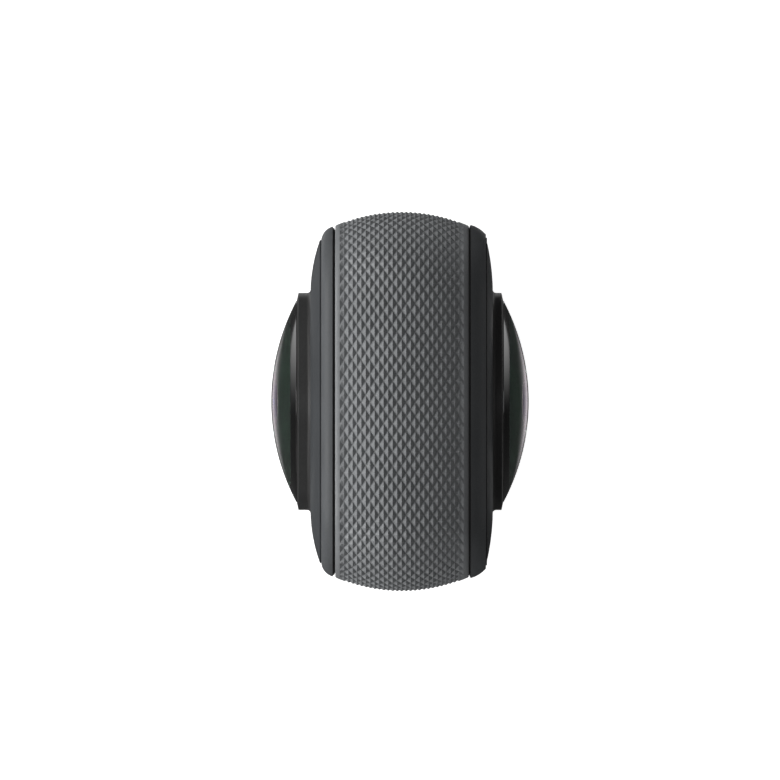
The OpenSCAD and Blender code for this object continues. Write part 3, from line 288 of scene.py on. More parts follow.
SLIP, FIT = 0.3, 0.05
battery_z, door_z = height_of("battery_cover", SLIP), height_of("cable_door", SLIP)
panel_z = height_of("button_panel", FIT)
windows = [tuple(z - FOOT_Z for z in battery_z), tuple(z - FOOT_Z for z in door_z)]
windows.append(tuple(PATH_LEN - (z - FOOT_Z) for z in panel_z[::-1]))
print("windows along the band in mm:", [tuple(round(v, 2) for v in w) for w in windows])

# %% The lines of its grid
COLUMNS, FRONT_TRIM = 14, 0.11
RIM_STEPS, RIM_FALLS = np.array([-0.22, -0.1, 0.0]), np.array([0.0, 0.02, 0.1])
RIM_LINES = len(RIM_STEPS)
marks = [edge for window in windows for edge in window]
band_s, band_a = lattice_lines(0.0, PATH_LEN, HALF_S, marks)
inner_t = np.arange(-COLUMNS, COLUMNS + 1) * HALF_T
rim_front, rim_rear = along_crown(BAND_HALF - FRONT_TRIM), along_crown(BAND_HALF)
band_t = np.concatenate([-(rim_front + RIM_STEPS)[::-1], inner_t, rim_rear + RIM_STEPS])
band_b = np.arange(-COLUMNS - RIM_LINES, COLUMNS + RIM_LINES + 1)
rim_fall = np.concatenate([RIM_FALLS[::-1], np.zeros(len(inner_t)), RIM_FALLS])
print("lines along and across the band:", len(band_s), len(band_t))

# %% Its plain edges, windows and pockets
BAND_IN = 7.85
TONGUE_TOP, TONGUE_HALF, TONGUE_IN = 9.0, 1.5, 1.15
plain = np.zeros((len(band_s), len(band_t)), bool)
plain[[0, -1], :] = True
plain[:, :RIM_LINES + 1] = True
plain[:, -RIM_LINES - 1:] = True
keep = np.ones((len(band_s) - 1, len(band_t) - 1), bool)
middle = (band_s[:-1] + band_s[1:]) / 2
open_columns = np.arange(RIM_LINES, len(band_t) - RIM_LINES - 1)
for low, high in windows:
    plain[np.isclose(band_s, low) | np.isclose(band_s, high), :] = True
    keep[np.ix_((middle > low) & (middle < high), open_columns)] = False
low, high = windows[0]
past_edge = np.maximum(low - band_s, band_s - high)
pocket_rows = (past_edge > -TINY) & (past_edge < TONGUE_IN + HALF_S)
reach = np.full(plain.shape, BAND_IN)
reach[np.ix_(pocket_rows, np.abs(band_t) < TONGUE_HALF + SLIP + HALF_T)] = TONGUE_TOP + SLIP
inside = reach - CORNER_R + CROWN_R * (1 - np.cos(band_t / CROWN_R))
print("lines of the grid in the latch pockets:", int(pocket_rows.sum()))

# %% The band as a piece
fall = np.broadcast_to(rim_fall, plain.shape)
points, faces, soft = knurled_skin(band_s, band_a, band_t, band_b, plain, keep, fall, inside)
band = piece("knurled_grip_band", points, faces, "camera", "grip", soft)
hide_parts("grip_band")

# %% [markdown]
# ## The battery's cover and the cable door
# Both close their windows with the same knurl. Their CAD pieces lie one knurl height below the band, so each
# gets a thin knurled skin on its outside. The skin of the cover leaves its two latch trays open, and the
# skin of the door ends above its hinge, where the real door is a plain barrel.

# %% Knurled skins on the two covers
SKIN_GAP, SKIN_UNDER, EDGE_FALL = 0.02, 0.06, 0.1
TRAY_END, HINGE_BARREL = 2.2, 3.1


def cover_skin(name, body, low, high, half_y, trays=(), tray_half=0.0):
    """A knurled skin on a left-hand cover between two heights, with open trays (low, high) of one width."""
    edge, tray_edge = along_crown(half_y), along_crown(tray_half)
    trays = [(z0 - FOOT_Z, z1 - FOOT_Z) for z0, z1 in trays]
    s, a = lattice_lines(low - FOOT_Z, high - FOOT_Z, HALF_S, [end for tray in trays for end in tray])
    t, b = lattice_lines(-edge, edge, HALF_T, [-tray_edge, tray_edge] if trays else [])
    plain = np.zeros((len(s), len(t)), bool)
    plain[[0, -1], :] = True
    plain[:, [0, -1]] = True
    keep = np.ones((len(s) - 1, len(t) - 1), bool)
    middle_s, middle_t = (s[:-1] + s[1:]) / 2, (t[:-1] + t[1:]) / 2
    for s0, s1 in trays:
        plain[np.ix_((s > s0 - TINY) & (s < s1 + TINY), np.abs(t) < tray_edge + TINY)] = True
        keep[np.ix_((middle_s > s0) & (middle_s < s1), np.abs(middle_t) < tray_edge)] = False
    fall = np.zeros(plain.shape)
    fall[[0, -1], :] = fall[:, [0, -1]] = EDGE_FALL
    inside = np.full(plain.shape, -KNURL_H - SKIN_UNDER)
    points, faces, soft = knurled_skin(s, a, t, b, plain, keep, fall, inside)
    return piece(name, points, faces, body, "grip", soft)


low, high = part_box("battery_cover")
cover_z = (low.z / MM + SKIN_GAP, high.z / MM - SKIN_GAP)
cover_half = (high.y - low.y) / MM / 2 - SKIN_GAP
upper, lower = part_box("upper_latch"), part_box("lower_latch")
tray_half = (upper[1].y - upper[0].y) / MM / 2 + SLIP + SKIN_GAP
tray_up = (upper[0].z / MM - SLIP - SKIN_GAP, cover_z[1] - TRAY_END + 2 * SKIN_GAP)
tray_down = (cover_z[0] + TRAY_END - 2 * SKIN_GAP, lower[1].z / MM + SLIP + SKIN_GAP)
trays = [tray_up, tray_down]
cover = cover_skin("battery_cover_knurl", "battery", *cover_z, cover_half, trays, tray_half)
low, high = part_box("cable_door")
door_half = (high.y - low.y) / MM / 2 - SKIN_GAP
leaf_z = (low.z / MM + HINGE_BARREL, high.z / MM - SKIN_GAP)
door = cover_skin("cable_door_knurl", "door", *leaf_z, door_half)
print("latch trays in mm:", [tuple(round(v, 2) for v in t) for t in trays])

# %% [markdown]
# ## The painted shade round the rear face plate
# A dark line parts the rear face plate from its shell all round: the shadow in the joint. A thin black bead
# laid along the joint paints that shade. A curve with a round bevel would do, but a small circle carried along
# a closed rounded rectangle has its points known exactly and closes without a seam.

# %% A bead along a closed outline
def bead_loop(reach, height, radius, corner_steps=24, section_steps=12):
    """A round bead on a rounded rectangle at a reach from the corners' centres: four quarter turns, and at
    each point a small circle spanned by the outward direction and the depth axis."""
    corners = np.array([(CORE_X, TOP_Z), (-CORE_X, TOP_Z), (-CORE_X, FOOT_Z), (CORE_X, FOOT_Z)])
    turn = np.linspace(0, math.pi / 2, corner_steps) + np.arange(len(corners))[:, None] * math.pi / 2
    out = np.stack([np.cos(turn), np.sin(turn)], -1)
    path = (corners[:, None] + reach * out).reshape(-1, 2)
    out = out.reshape(-1, 2)
    angle = -np.arange(section_steps) / section_steps * 2 * math.pi
    xz = path[:, None] + out[:, None] * (radius * np.cos(angle))[None, :, None]
    y = np.broadcast_to(height + radius * np.sin(angle), xz.shape[:2])
    points = np.stack([xz[..., 0], y, xz[..., 1]], -1).reshape(-1, 3)
    return points, grid_faces(len(path), section_steps, close_rows=True, close_columns=True).tolist()


BEAD_OUT, BEAD_UP, BEAD_R = 0.06, 0.04, 0.09
plate_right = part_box("rear_face")[1].x / MM
shell_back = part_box("rear_shell")[1].y / MM
bead_reach = plate_right - CORE_X + BEAD_OUT
# A black bead laid in the joint: a dark piece that paints the joint's shadow.
seam_shade_bead = piece("rear_seam_bead", *bead_loop(bead_reach, shell_back + BEAD_UP, BEAD_R), "camera", "rubber")
print("bead lies at mm:", round(bead_reach, 2), round(shell_back, 2))

# %% [markdown]
# ## The lenses
# Each lens is a thick glass dome in a gloss black bezel, with a turned ring round it that rises from the
# face plate in a small fillet. All of them are surfaces of revolution about one axis. The Screw modifier
# could turn them, but here each is a profile of radius and height, carried round in equal steps, so that
# seams and poles close exactly. Real fisheye domes are solid glass down to a blackened seat. That is why they
# look dark from the side, and why the dome here is a solid cap with the blackened baffle inside its glass.

# %% A profile with fillets
FILLET_STEPS = 7


def rounded(corners):
    """A closed profile from corners (radius, height, fillet). Each fillet is an arc that touches both sides
    of its corner, found from the corner's bisector."""
    c = np.array(corners, float)
    xy, fillet = c[:, :2], c[:, 2]
    before, after = np.roll(xy, 1, 0) - xy, np.roll(xy, -1, 0) - xy
    before /= np.linalg.norm(before, axis=1)[:, None]
    after /= np.linalg.norm(after, axis=1)[:, None]
    half = np.arccos(np.clip((before * after).sum(1), -1, 1)) / 2
    middle = before + after
    middle /= np.linalg.norm(middle, axis=1)[:, None]
    centre = xy + middle * (fillet / np.sin(half))[:, None]
    touch = (fillet / np.tan(half))[:, None]
    first, last = xy + before * touch, xy + after * touch
    share = np.linspace(0, 1, FILLET_STEPS)[None, :, None]
    chord = first[:, None] * (1 - share) + last[:, None] * share - centre[:, None]
    length = np.linalg.norm(chord, axis=2, keepdims=True)
    arc = centre[:, None] + chord / np.maximum(length, TINY) * fillet[:, None, None]
    arc = np.where(fillet[:, None, None] > 0, arc, xy[:, None])
    kept = [arc[k] if fillet[k] > 0 else arc[k, :1] for k in range(len(c))]
    return np.concatenate(kept)


print("points on a fillet:", FILLET_STEPS)

# %% A surface of revolution
ROUND_STEPS = 192


def revolve(profile, side):
    """Closed surface of revolution about the lens axis. The profile runs from the axis back to the axis, or
    round a closed loop, and side is 1 for the front and -1 for the rear. A profile that encloses a positive
    area is turned round, so that the faces look outward."""
    r, h = np.asarray(profile, float).T
    if (r * np.roll(h, -1) - np.roll(r, -1) * h).sum() > 0:
        r, h = r[::-1], h[::-1]
    angle = np.arange(ROUND_STEPS) / ROUND_STEPS * 2 * math.pi
    rg, ag = np.meshgrid(r, angle, indexing="ij")
    hg = np.broadcast_to(h[:, None], rg.shape)
    points = np.stack([rg * np.cos(ag) * side, -side * hg, LENS_Z + rg * np.sin(ag)], -1).reshape(-1, 3)
    loop = r[0] > 0
    faces = grid_faces(len(r), ROUND_STEPS, close_rows=loop, close_columns=True)
    if loop:
        return points, faces.tolist()
    first, middle, last = faces[:ROUND_STEPS], faces[ROUND_STEPS:-ROUND_STEPS], faces[-ROUND_STEPS:]
    faces = [[0, *f] for f in first[:, 1:3].tolist()] + middle.tolist()
    faces += [[f[0], len(points) - 1, f[3]] for f in last.tolist()]
    return points, faces


print("points on a circle of a lens:", ROUND_STEPS)

# %% [markdown]
# The dome and its bezel share one sphere, so the light runs over both without a break. The bezel lies a hair
# above the glass and covers its rim. The ring's face rises gently to the bezel.

# %% The sphere, and the profiles of ring and bezel
SPHERE_R, APEX = 26.0, 15.65
EDGE = 0.01
BEZEL_OUT, BEZEL_IN, BEZEL_FOOT, BEZEL_LIFT = 12.25, 10.86, 11.6, 0.006
RING_R, FLANGE_R, RING_DEPTH, RING_LIFT = 13.2, 13.72, 0.8, 0.004
FACE_RISE, FACE_GAP = 0.19, 0.02
FOOT_FILLET, FACE_FILLET, LIP_FILLET = 0.45, 0.1, 0.04


def sphere_height(r):
    """Height of the dome's sphere at a radius: the centre's height plus the other leg of a right triangle
    whose long side is the sphere's radius."""
    return APEX - SPHERE_R + np.sqrt(SPHERE_R**2 - np.asarray(r, float) ** 2)


def on_sphere(r, lift=0.0):
    """Points of a profile at given radii, on the sphere or raised above it."""
    return np.stack([r, sphere_height(r) + lift], 1)


def ring_profile(seat, face):
    """A flange under the face plate, a fillet from the plate to the wall, and a face that rises inward."""
    return rounded([
        (BEZEL_OUT, seat - RING_DEPTH, 0),
        (FLANGE_R, seat - RING_DEPTH, 0),
        (FLANGE_R, seat + RING_LIFT, 0),
        (RING_R, seat + RING_LIFT, FOOT_FILLET),
        (RING_R, face, FACE_FILLET),
        (BEZEL_OUT + FACE_GAP, face + FACE_RISE, LIP_FILLET),
    ])


def bezel_profile():
    """A zone of the sphere with close points at both edges, on a flat foot."""
    middle = np.linspace(BEZEL_OUT - 5 * EDGE, BEZEL_IN + 5 * EDGE, 12)
    r = np.concatenate([[BEZEL_OUT, BEZEL_OUT - EDGE], middle, [BEZEL_IN + EDGE, BEZEL_IN]])
    top = on_sphere(r, BEZEL_LIFT)
    foot = [(BEZEL_IN, BEZEL_FOOT), (BEZEL_OUT, BEZEL_FOOT)]
    return np.concatenate([foot, top[:1] - (0, EDGE), top, top[-1:] - (0, EDGE)])


print("dome rises above its bezel by mm:", round(APEX - float(sphere_height(BEZEL_OUT)), 2))

# %% The profiles of dome and baffle
DOME_R, DOME_BACK, BACK_R, BACK_MIDDLE, BACK_BEVEL = 10.95, 12.68, 10.8, 5.0, 0.04
BAFFLE_R, WALL_R, WALL_FOOT, BAFFLE_FOOT, UNDER_GLASS = 10.82, 10.6, 12.74, 12.2, 0.03
RIDGE_OUT, HOLE_R, RIDGE_TOP = 10.35, 3.72, 12.86
RIDGE_H, RIDGE_PITCH, RIDGE_FALL = 0.05, 0.45, 0.03


def dome_profile():
    """A cap of the sphere from the axis to the rim, and a flat back with a bevel to the axis again."""
    r = np.concatenate([np.linspace(0, DOME_R - 5 * EDGE, 40), [DOME_R - EDGE, DOME_R]])
    cap = on_sphere(r)
    bevel = [(DOME_R, DOME_BACK + BACK_BEVEL), (BACK_R, DOME_BACK)]
    return np.concatenate([cap, cap[-1:] - (0, EDGE), bevel, [(BACK_MIDDLE, DOME_BACK), (0, DOME_BACK)]])


def baffle_profile():
    """A thin wall close under the glass, then ridges down to the hole: a zigzag of the radius over its pitch,
    on a cone that falls inward."""
    wall_r = np.array([BAFFLE_R, WALL_R])
    wall = on_sphere(wall_r) - [(0, UNDER_GLASS), (0, 2 * UNDER_GLASS)]
    r = np.linspace(RIDGE_OUT, HOLE_R, 57)
    zigzag = np.abs((r / RIDGE_PITCH) % 1 - 0.5)
    ridge = np.stack([r, RIDGE_TOP + RIDGE_H * zigzag - RIDGE_FALL * (RIDGE_OUT - r)], 1)
    foot = [(HOLE_R, BAFFLE_FOOT), (WALL_R, BAFFLE_FOOT), (WALL_R, WALL_FOOT)]
    return np.concatenate([[(BAFFLE_R, WALL_FOOT)], wall, ridge, foot])


print("ridges of the baffle:", round((RIDGE_OUT - HOLE_R) / RIDGE_PITCH))

# %% Rings, bezels, domes and baffles
PLATE_TOP = {"front": 10.85, "rear": 11.25}
lens_pieces = []
for side, word in ((1, "front"), (-1, "rear")):
    face = abs(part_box(f"{word}_lens_ring")[0 if side > 0 else 1].y) / MM
    profile = ring_profile(PLATE_TOP[word], face)
    ring = piece(f"{word}_turned_ring", *revolve(profile, side), "camera", "lens_ring")
    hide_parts(f"{word}_lens_ring")
    bezel = piece(f"{word}_gloss_bezel", *revolve(bezel_profile(), side), "camera", "bezel")
    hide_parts(f"{word}_lens_bezel")
    dome = piece(f"{word}_glass_dome", *revolve(dome_profile(), side), "camera", "dome_glass")
    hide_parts(f"{word}_dome_lens")
    baffle = piece(f"{word}_baffle", *revolve(baffle_profile(), side), "camera", "lens_black")
    lens_pieces += [ring, bezel, dome, baffle]
print("lens pieces:", len(lens_pieces))

# %% [markdown]
# ## Shared shader effects
# Moulded plastic is never one flat colour: the tool leaves a fine grain, and handling leaves slow changes of
# sheen. Both are noise in object coordinates, so they stay with the piece. Each effect is a node group,
# built once, so that every material can use it with values of its own. The shaders stay in the materials.

# %% Node helpers
def node_group(name, inputs, outputs):
    """An empty shader group with sockets given as (name, kind, value)."""
    tree = bpy.data.node_groups.new(name, "ShaderNodeTree")
    for label, kind, value in inputs:
        socket = tree.interface.new_socket(label, in_out="INPUT", socket_type="NodeSocket" + kind)
        socket.default_value = value
    for label, kind in outputs:
        tree.interface.new_socket(label, in_out="OUTPUT", socket_type="NodeSocket" + kind)
    return tree, tree.nodes.new("NodeGroupInput"), tree.nodes.new("NodeGroupOutput")


def add(tree, kind, values=None, **settings):
    """A new node with its settings, and its inputs by name or number set to a value or linked to a socket."""
    node = tree.nodes.new("ShaderNode" + kind)
    for label, value in settings.items():
        setattr(node, label, value)
    for label, value in (values or {}).items():
        if isinstance(value, bpy.types.NodeSocket):
            tree.links.new(value, node.inputs[label])
        else:
            node.inputs[label].default_value = value
    return node


print("nodes are named as in Blender", bpy.app.version_string)

# %% Sums, ramps and mixes
def calc(tree, operation, *values):
    """One sum, such as ADD or POWER, of numbers or sockets."""
    return add(tree, "Math", dict(enumerate(values)), operation=operation).outputs[0]


def ramp(tree, value, start, end, low=0.0, high=1.0):
    """A straight ramp from low to high while a value runs from start to end, and level outside."""
    values = {"Value": value, "From Min": start, "From Max": end, "To Min": low, "To Max": high}
    return add(tree, "MapRange", values).outputs[0]


def mix(tree, share, first, second):
    """A colour between two colours, the second where the share is 1."""
    return add(tree, "Mix", {"Factor": share, "A": first, "B": second}, data_type="RGBA").outputs["Result"]


def vector_length(tree, vector):
    """Length of a vector."""
    return add(tree, "VectorMath", {0: vector}, operation="LENGTH").outputs["Value"]


def axis_distance(tree, centre):
    """Distance from an axis along Y: the length of the offset from a centre with its Y taken out."""
    place = add(tree, "TexCoord").outputs["Object"]
    offset = add(tree, "VectorMath", {0: place, 1: centre}, operation="SUBTRACT").outputs[0]
    flat = add(tree, "VectorMath", {0: offset, 1: (1, 0, 1)}, operation="MULTIPLY").outputs[0]
    return vector_length(tree, flat)


print("helpers:", [f.__name__ for f in (calc, ramp, mix, vector_length, axis_distance)])

# %% Moulded grain
NOISE_LOW, NOISE_HIGH = 0.3, 0.7
SUM_LOW, SUM_HIGH = 0.7, 1.3
SLOW_SCALE, GRAIN_SWING = 180.0, 0.05


def grain_group():
    """Fine grain and slow sheen: the sum of two noises chooses between two tones, the slow noise swings the
    roughness and the fine one is the height."""
    tree, given, out = node_group(
        "moulded grain",
        [("Tone", "Color", (0.1, 0.1, 0.1, 1)), ("Deep", "Color", (0.08, 0.08, 0.08, 1)),
         ("Fine", "Float", 5000.0), ("Roughness", "Float", 0.5)],
        [("Color", "Color"), ("Roughness", "Float"), ("Height", "Float")],
    )
    place = add(tree, "TexCoord").outputs["Object"]
    fine = add(tree, "TexNoise", {"Vector": place, "Scale": given.outputs["Fine"], "Detail": 2.0})
    slow = add(tree, "TexNoise", {"Vector": place, "Scale": SLOW_SCALE, "Detail": 1.0})
    share = ramp(tree, calc(tree, "ADD", fine.outputs["Fac"], slow.outputs["Fac"]), SUM_LOW, SUM_HIGH)
    tone = mix(tree, share, given.outputs["Deep"], given.outputs["Tone"])
    swing = ramp(tree, slow.outputs["Fac"], NOISE_LOW, NOISE_HIGH, -GRAIN_SWING, GRAIN_SWING)
    tree.links.new(tone, out.inputs["Color"])
    tree.links.new(calc(tree, "ADD", given.outputs["Roughness"], swing), out.inputs["Roughness"])
    tree.links.new(fine.outputs["Fac"], out.inputs["Height"])
    return tree


grain = grain_group()
print("nodes of the grain:", len(grain.nodes))

# %% Turned rings
TURNED_SWING = 0.06


def turned_group():
    """Rings of a lathe tool about the lens axis: noise of the radius over a pitch is the height and swings
    the roughness, and the radius itself is put out too."""
    tree, given, out = node_group(
        "turned rings", [("Pitch", "Float", 0.00012), ("Roughness", "Float", 0.4)],
        [("Roughness", "Float"), ("Height", "Float"), ("Radius", "Float")],
    )
    radius = axis_distance(tree, (0, 0, LENS_Z * MM))
    step = calc(tree, "DIVIDE", radius, given.outputs["Pitch"])
    wave = add(tree, "TexNoise", {"W": step, "Scale": 1.0, "Detail": 3.0}, noise_dimensions="1D")
    swing = ramp(tree, wave.outputs["Fac"], NOISE_LOW, NOISE_HIGH, -TURNED_SWING, TURNED_SWING)
    tree.links.new(calc(tree, "ADD", given.outputs["Roughness"], swing), out.inputs["Roughness"])
    tree.links.new(wave.outputs["Fac"], out.inputs["Height"])
    tree.links.new(radius, out.inputs["Radius"])
    return tree


turned = turned_group()
print("nodes of the turned rings:", len(turned.nodes))

# %% Board tracks
CELL_SCALE, TRACK_LOW, TRACK_HIGH = 900.0, 0.34, 0.38


def board_group():
    """Tracks and pads of a circuit board: the distance to the nearest of many scattered points, counted along
    the axes and cut at a level, is the height and chooses between two colours."""
    tree, given, out = node_group(
        "board tracks",
        [("Mask", "Color", (0.01, 0.08, 0.045, 1)), ("Track", "Color", (0.03, 0.16, 0.09, 1))],
        [("Color", "Color"), ("Height", "Float")],
    )
    place = add(tree, "TexCoord").outputs["Object"]
    values = {"Vector": place, "Scale": CELL_SCALE}
    cells = add(tree, "TexVoronoi", values, distance="MANHATTAN", feature="F1")
    track = ramp(tree, cells.outputs["Distance"], TRACK_LOW, TRACK_HIGH)
    tree.links.new(mix(tree, track, given.outputs["Mask"], given.outputs["Track"]), out.inputs["Color"])
    tree.links.new(track, out.inputs["Height"])
    return tree


tracks = board_group()
print("node groups:", [g.name for g in bpy.data.node_groups])

# %% [markdown]
# ## Materials
# One function makes every plastic, rubber and metal finish: the grain group gives the colour, the sheen and
# a small bump, and the shader's own sockets hold what is uniform, such as metal or the strength of a gloss.

# %% Material helpers
def use_group(tree, group, **values):
    """A node that runs a shared group with some of its inputs set."""
    node = tree.nodes.new("ShaderNodeGroup")
    node.node_tree = group
    for label, value in values.items():
        node.inputs[label].default_value = value
    return node


def material(name):
    """A new material with an empty tree, its shader and its output."""
    made = bpy.data.materials.new(name)
    made.use_nodes = True
    tree = made.node_tree
    tree.nodes.clear()
    shader = add(tree, "BsdfPrincipled")
    add(tree, "OutputMaterial", {"Surface": shader.outputs["BSDF"]})
    return made, tree, shader


def grey(value, warm=0.0):
    """A colour near grey from an sRGB level of 0 to 255, warmer or cooler by a few levels. The sRGB curve is
    a straight line near black and a power above it."""
    level = np.array([value + warm, value, value - warm, 0.0]) / 255
    linear = np.where(level <= 0.04045, level / 12.92, ((level + 0.055) / 1.055) ** 2.4)
    linear[3] = 1.0
    return tuple(float(v) for v in linear)


def raise_grain(tree, shader, height, depth, strength=0.5):
    """Bend the shader's normal with a bump of a depth in metres."""
    raised = add(tree, "Bump", {"Height": height, "Distance": depth, "Strength": strength})
    tree.links.new(raised.outputs["Normal"], shader.inputs["Normal"])


def finish(name, tone, deep, roughness, fine=5000.0, depth=0.00002, **uniform):
    """A grained finish from two tones, with uniform values for the shader's own sockets."""
    made, tree, shader = material(name)
    node = use_group(tree, grain, Tone=tone, Deep=deep, Fine=fine, Roughness=roughness)
    tree.links.new(node.outputs["Color"], shader.inputs["Base Color"])
    tree.links.new(node.outputs["Roughness"], shader.inputs["Roughness"])
    raise_grain(tree, shader, node.outputs["Height"], depth)
    for label, value in uniform.items():
        shader.inputs[label.replace("_", " ")].default_value = value
    return made


print("middle grey as a linear colour:", [round(v, 3) for v in grey(128)])

# %% [markdown]
# The outer plastics are close greys that the photo tells apart: the grip is the palest, the shells are
# darker, the face plates darker still and the lens rings nearly black.

# %% Plastics, rubber and metals
KEY_TONES, KEY_ROUGHNESS, KEY_FINE = (grey(62), grey(56)), 0.42, 6000.0
COPPER, COPPER_DEEP = (0.62, 0.30, 0.17, 1), (0.5, 0.22, 0.11, 1)
FINE_DEPTH = 0.00001
looks = {
    "grip": finish("grip plastic", grey(131, -2), grey(121, -2), 0.5, 3500.0, 0.000015,
                   Specular_IOR_Level=0.4),
    "shell": finish("shell plastic", grey(86, -2), grey(79, -2), 0.5, 6000.0, Specular_IOR_Level=0.15),
    "face": finish("face plastic", grey(66, -2), grey(60, -2), 0.48, 6000.0, Specular_IOR_Level=0.06),
    "frame": finish("frame plastic", grey(60), grey(52), 0.6),
    # This rubber also dresses the dark bead that paints the shade in the rear joint.
    "rubber": finish("seal rubber", grey(24), grey(18), 0.7, 2500.0),
    "key": finish("key plastic", *KEY_TONES, KEY_ROUGHNESS, KEY_FINE),
    "lens_black": finish("baffle black", (0.010, 0.027, 0.016, 1), (0.006, 0.013, 0.009, 1), 0.75, 3000.0),
    "latch": finish("latch plastic", grey(140), grey(130), 0.42, 6000.0),
    "battery_case": finish("battery case", grey(48), grey(42), 0.5),
    "steel": finish("screw steel", grey(170), grey(150), 0.3, 2000.0, FINE_DEPTH, Metallic=1.0),
    "nut_steel": finish("nut steel", grey(185), grey(165), 0.26, 1500.0, FINE_DEPTH, Metallic=1.0),
    "copper": finish("copper", COPPER, COPPER_DEEP, 0.35, 1500.0, FINE_DEPTH, Metallic=1.0),
    "flex": finish("flex film", (0.42, 0.19, 0.05, 1), (0.33, 0.13, 0.03, 1), 0.4, 1200.0),
    "light_pipe": finish("light pipe", grey(205), grey(190), 0.3, 1500.0),
}
print("grained finishes:", len(looks))

# %% [markdown]
# The lens rings are turned and anodised, so their sheen runs in fine circles. The bezel is glossy black. The
# dome is coated glass: thin layers on it cancel most of the reflection and leave a rose and green cast,
# which the shader's thin film and a rose tint give. The inner lens is dark and has a coating of its own.

# %% The anodised ring
RING_FACE_R, RING_SOFT = 0.01316, 0.00005
RING_PITCH, RING_GRAIN = 0.00009, 0.000006


def ring_look():
    """Near black on the ring's face and grey on its wall, parted by the radius, with the lathe's rings in
    sheen and height."""
    made, tree, shader = material("anodised ring")
    node = use_group(tree, turned, Pitch=RING_PITCH, Roughness=0.36)
    wall = use_group(tree, grain, Tone=grey(65), Deep=grey(58), Fine=4000.0)
    share = ramp(tree, node.outputs["Radius"], RING_FACE_R - RING_SOFT, RING_FACE_R)
    tree.links.new(mix(tree, share, grey(26), wall.outputs["Color"]), shader.inputs["Base Color"])
    tree.links.new(node.outputs["Roughness"], shader.inputs["Roughness"])
    shader.inputs["Specular IOR Level"].default_value = 0.12
    raise_grain(tree, shader, node.outputs["Height"], RING_GRAIN, 0.4)
    return made


looks["lens_ring"] = ring_look()
print("the ring's face ends at mm:", RING_FACE_R / MM)

# %% Gloss and glass
DOME_TINT, DEEPER, DOME_FILM = (0.90, 0.95, 0.92), 0.96, 140.0
COATING_IOR, ROSE = 1.38, (1.0, 0.90, 0.94, 1)
INNER_TONE, INNER_DEEP, INNER_FILM = (0.030, 0.012, 0.020, 1), (0.02, 0.01, 0.016, 1), 115.0


def gloss_look(name, tone, deep, roughness, ior, film=0.0):
    """A smooth surface with grain in its colour alone, and a coating in nanometres where one is given."""
    made, tree, shader = material(name)
    node = use_group(tree, grain, Tone=tone, Deep=deep, Fine=2500.0, Roughness=roughness)
    tree.links.new(node.outputs["Color"], shader.inputs["Base Color"])
    shader.inputs["Roughness"].default_value = roughness
    shader.inputs["IOR"].default_value = ior
    shader.inputs["Thin Film Thickness"].default_value = film
    return made


def dome_look():
    """Clear glass with a faint tint that changes slowly, under a coating that reflects rose."""
    made, tree, shader = material("coated dome glass")
    deep = tuple(DEEPER * v for v in DOME_TINT)
    node = use_group(tree, grain, Tone=(*DOME_TINT, 1), Deep=(*deep, 1), Fine=900.0)
    tree.links.new(node.outputs["Color"], shader.inputs["Base Color"])
    shader.inputs["Roughness"].default_value = 0.0
    shader.inputs["IOR"].default_value = 1.5
    shader.inputs["Transmission Weight"].default_value = 1.0
    shader.inputs["Thin Film Thickness"].default_value = DOME_FILM
    shader.inputs["Thin Film IOR"].default_value = COATING_IOR
    shader.inputs["Specular Tint"].default_value = ROSE
    return made


looks["bezel"] = gloss_look("gloss black", grey(8), grey(6), 0.10, 1.8)
looks["dome_glass"] = dome_look()
looks["inner_glass"] = gloss_look("coated inner lens", INNER_TONE, INNER_DEEP, 0.03, 1.7, INNER_FILM)
looks["screen"] = gloss_look("screen glass", grey(13), grey(10), 0.04, 1.5)
looks["display"] = gloss_look("display", grey(20), grey(16), 0.2, 1.5)
print("lens coatings in nm:", DOME_FILM, INNER_FILM)

# %% [markdown]
# Circuit boards get tracks, and the shutter button a red ring, so that an eye finds it. The ring is a band
# of radius about the button's own axis, which is simpler than a piece of its own.

# %% Board and shutter materials
TRACK_DEPTH = 0.00003
RED, RED_R, RED_FULL, RED_END = (0.45, 0.015, 0.012, 1), 0.0029, 0.0003, 0.0004


def board_look():
    """Solder mask over tracks that stand a little above the board."""
    made, tree, shader = material("circuit board")
    node = use_group(tree, tracks)
    tree.links.new(node.outputs["Color"], shader.inputs["Base Color"])
    raise_grain(tree, shader, node.outputs["Height"], TRACK_DEPTH)
    shader.inputs["Roughness"].default_value = 0.4
    return made


def shutter_look():
    """Key plastic, and red where the distance from the button's axis is close to one radius."""
    made, tree, shader = material("shutter key")
    low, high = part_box("shutter_button")
    away = calc(tree, "SUBTRACT", axis_distance(tree, tuple((low + high) / 2)), RED_R)
    share = ramp(tree, calc(tree, "ABSOLUTE", away), RED_END, RED_FULL)
    tone, deep = KEY_TONES
    node = use_group(tree, grain, Tone=tone, Deep=deep, Fine=KEY_FINE, Roughness=KEY_ROUGHNESS)
    tree.links.new(mix(tree, share, node.outputs["Color"], RED), shader.inputs["Base Color"])
    tree.links.new(node.outputs["Roughness"], shader.inputs["Roughness"])
    return made


looks["board"], looks["shutter_key"] = board_look(), shutter_look()
print("materials:", len(looks))

# %% [markdown]
# Every piece takes the look of its material slot. The CAD nodes carry their slot in the record, and the new
# pieces were given theirs when they were made.

# %% Give every piece its look
slot_of = {s["node"]: s["material_slot"] for s in frame["record"]["subparts"]}
made_here = [band, cover, door, seam_shade_bead, *lens_pieces]
for obj in [*nodes.values(), *made_here]:
    look = looks[slot_of[obj.name] if obj.name in slot_of else obj["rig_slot"]]
    obj.data.materials.clear()
    obj.data.materials.append(look)
print("pieces with a look:", len(nodes) + len(made_here))
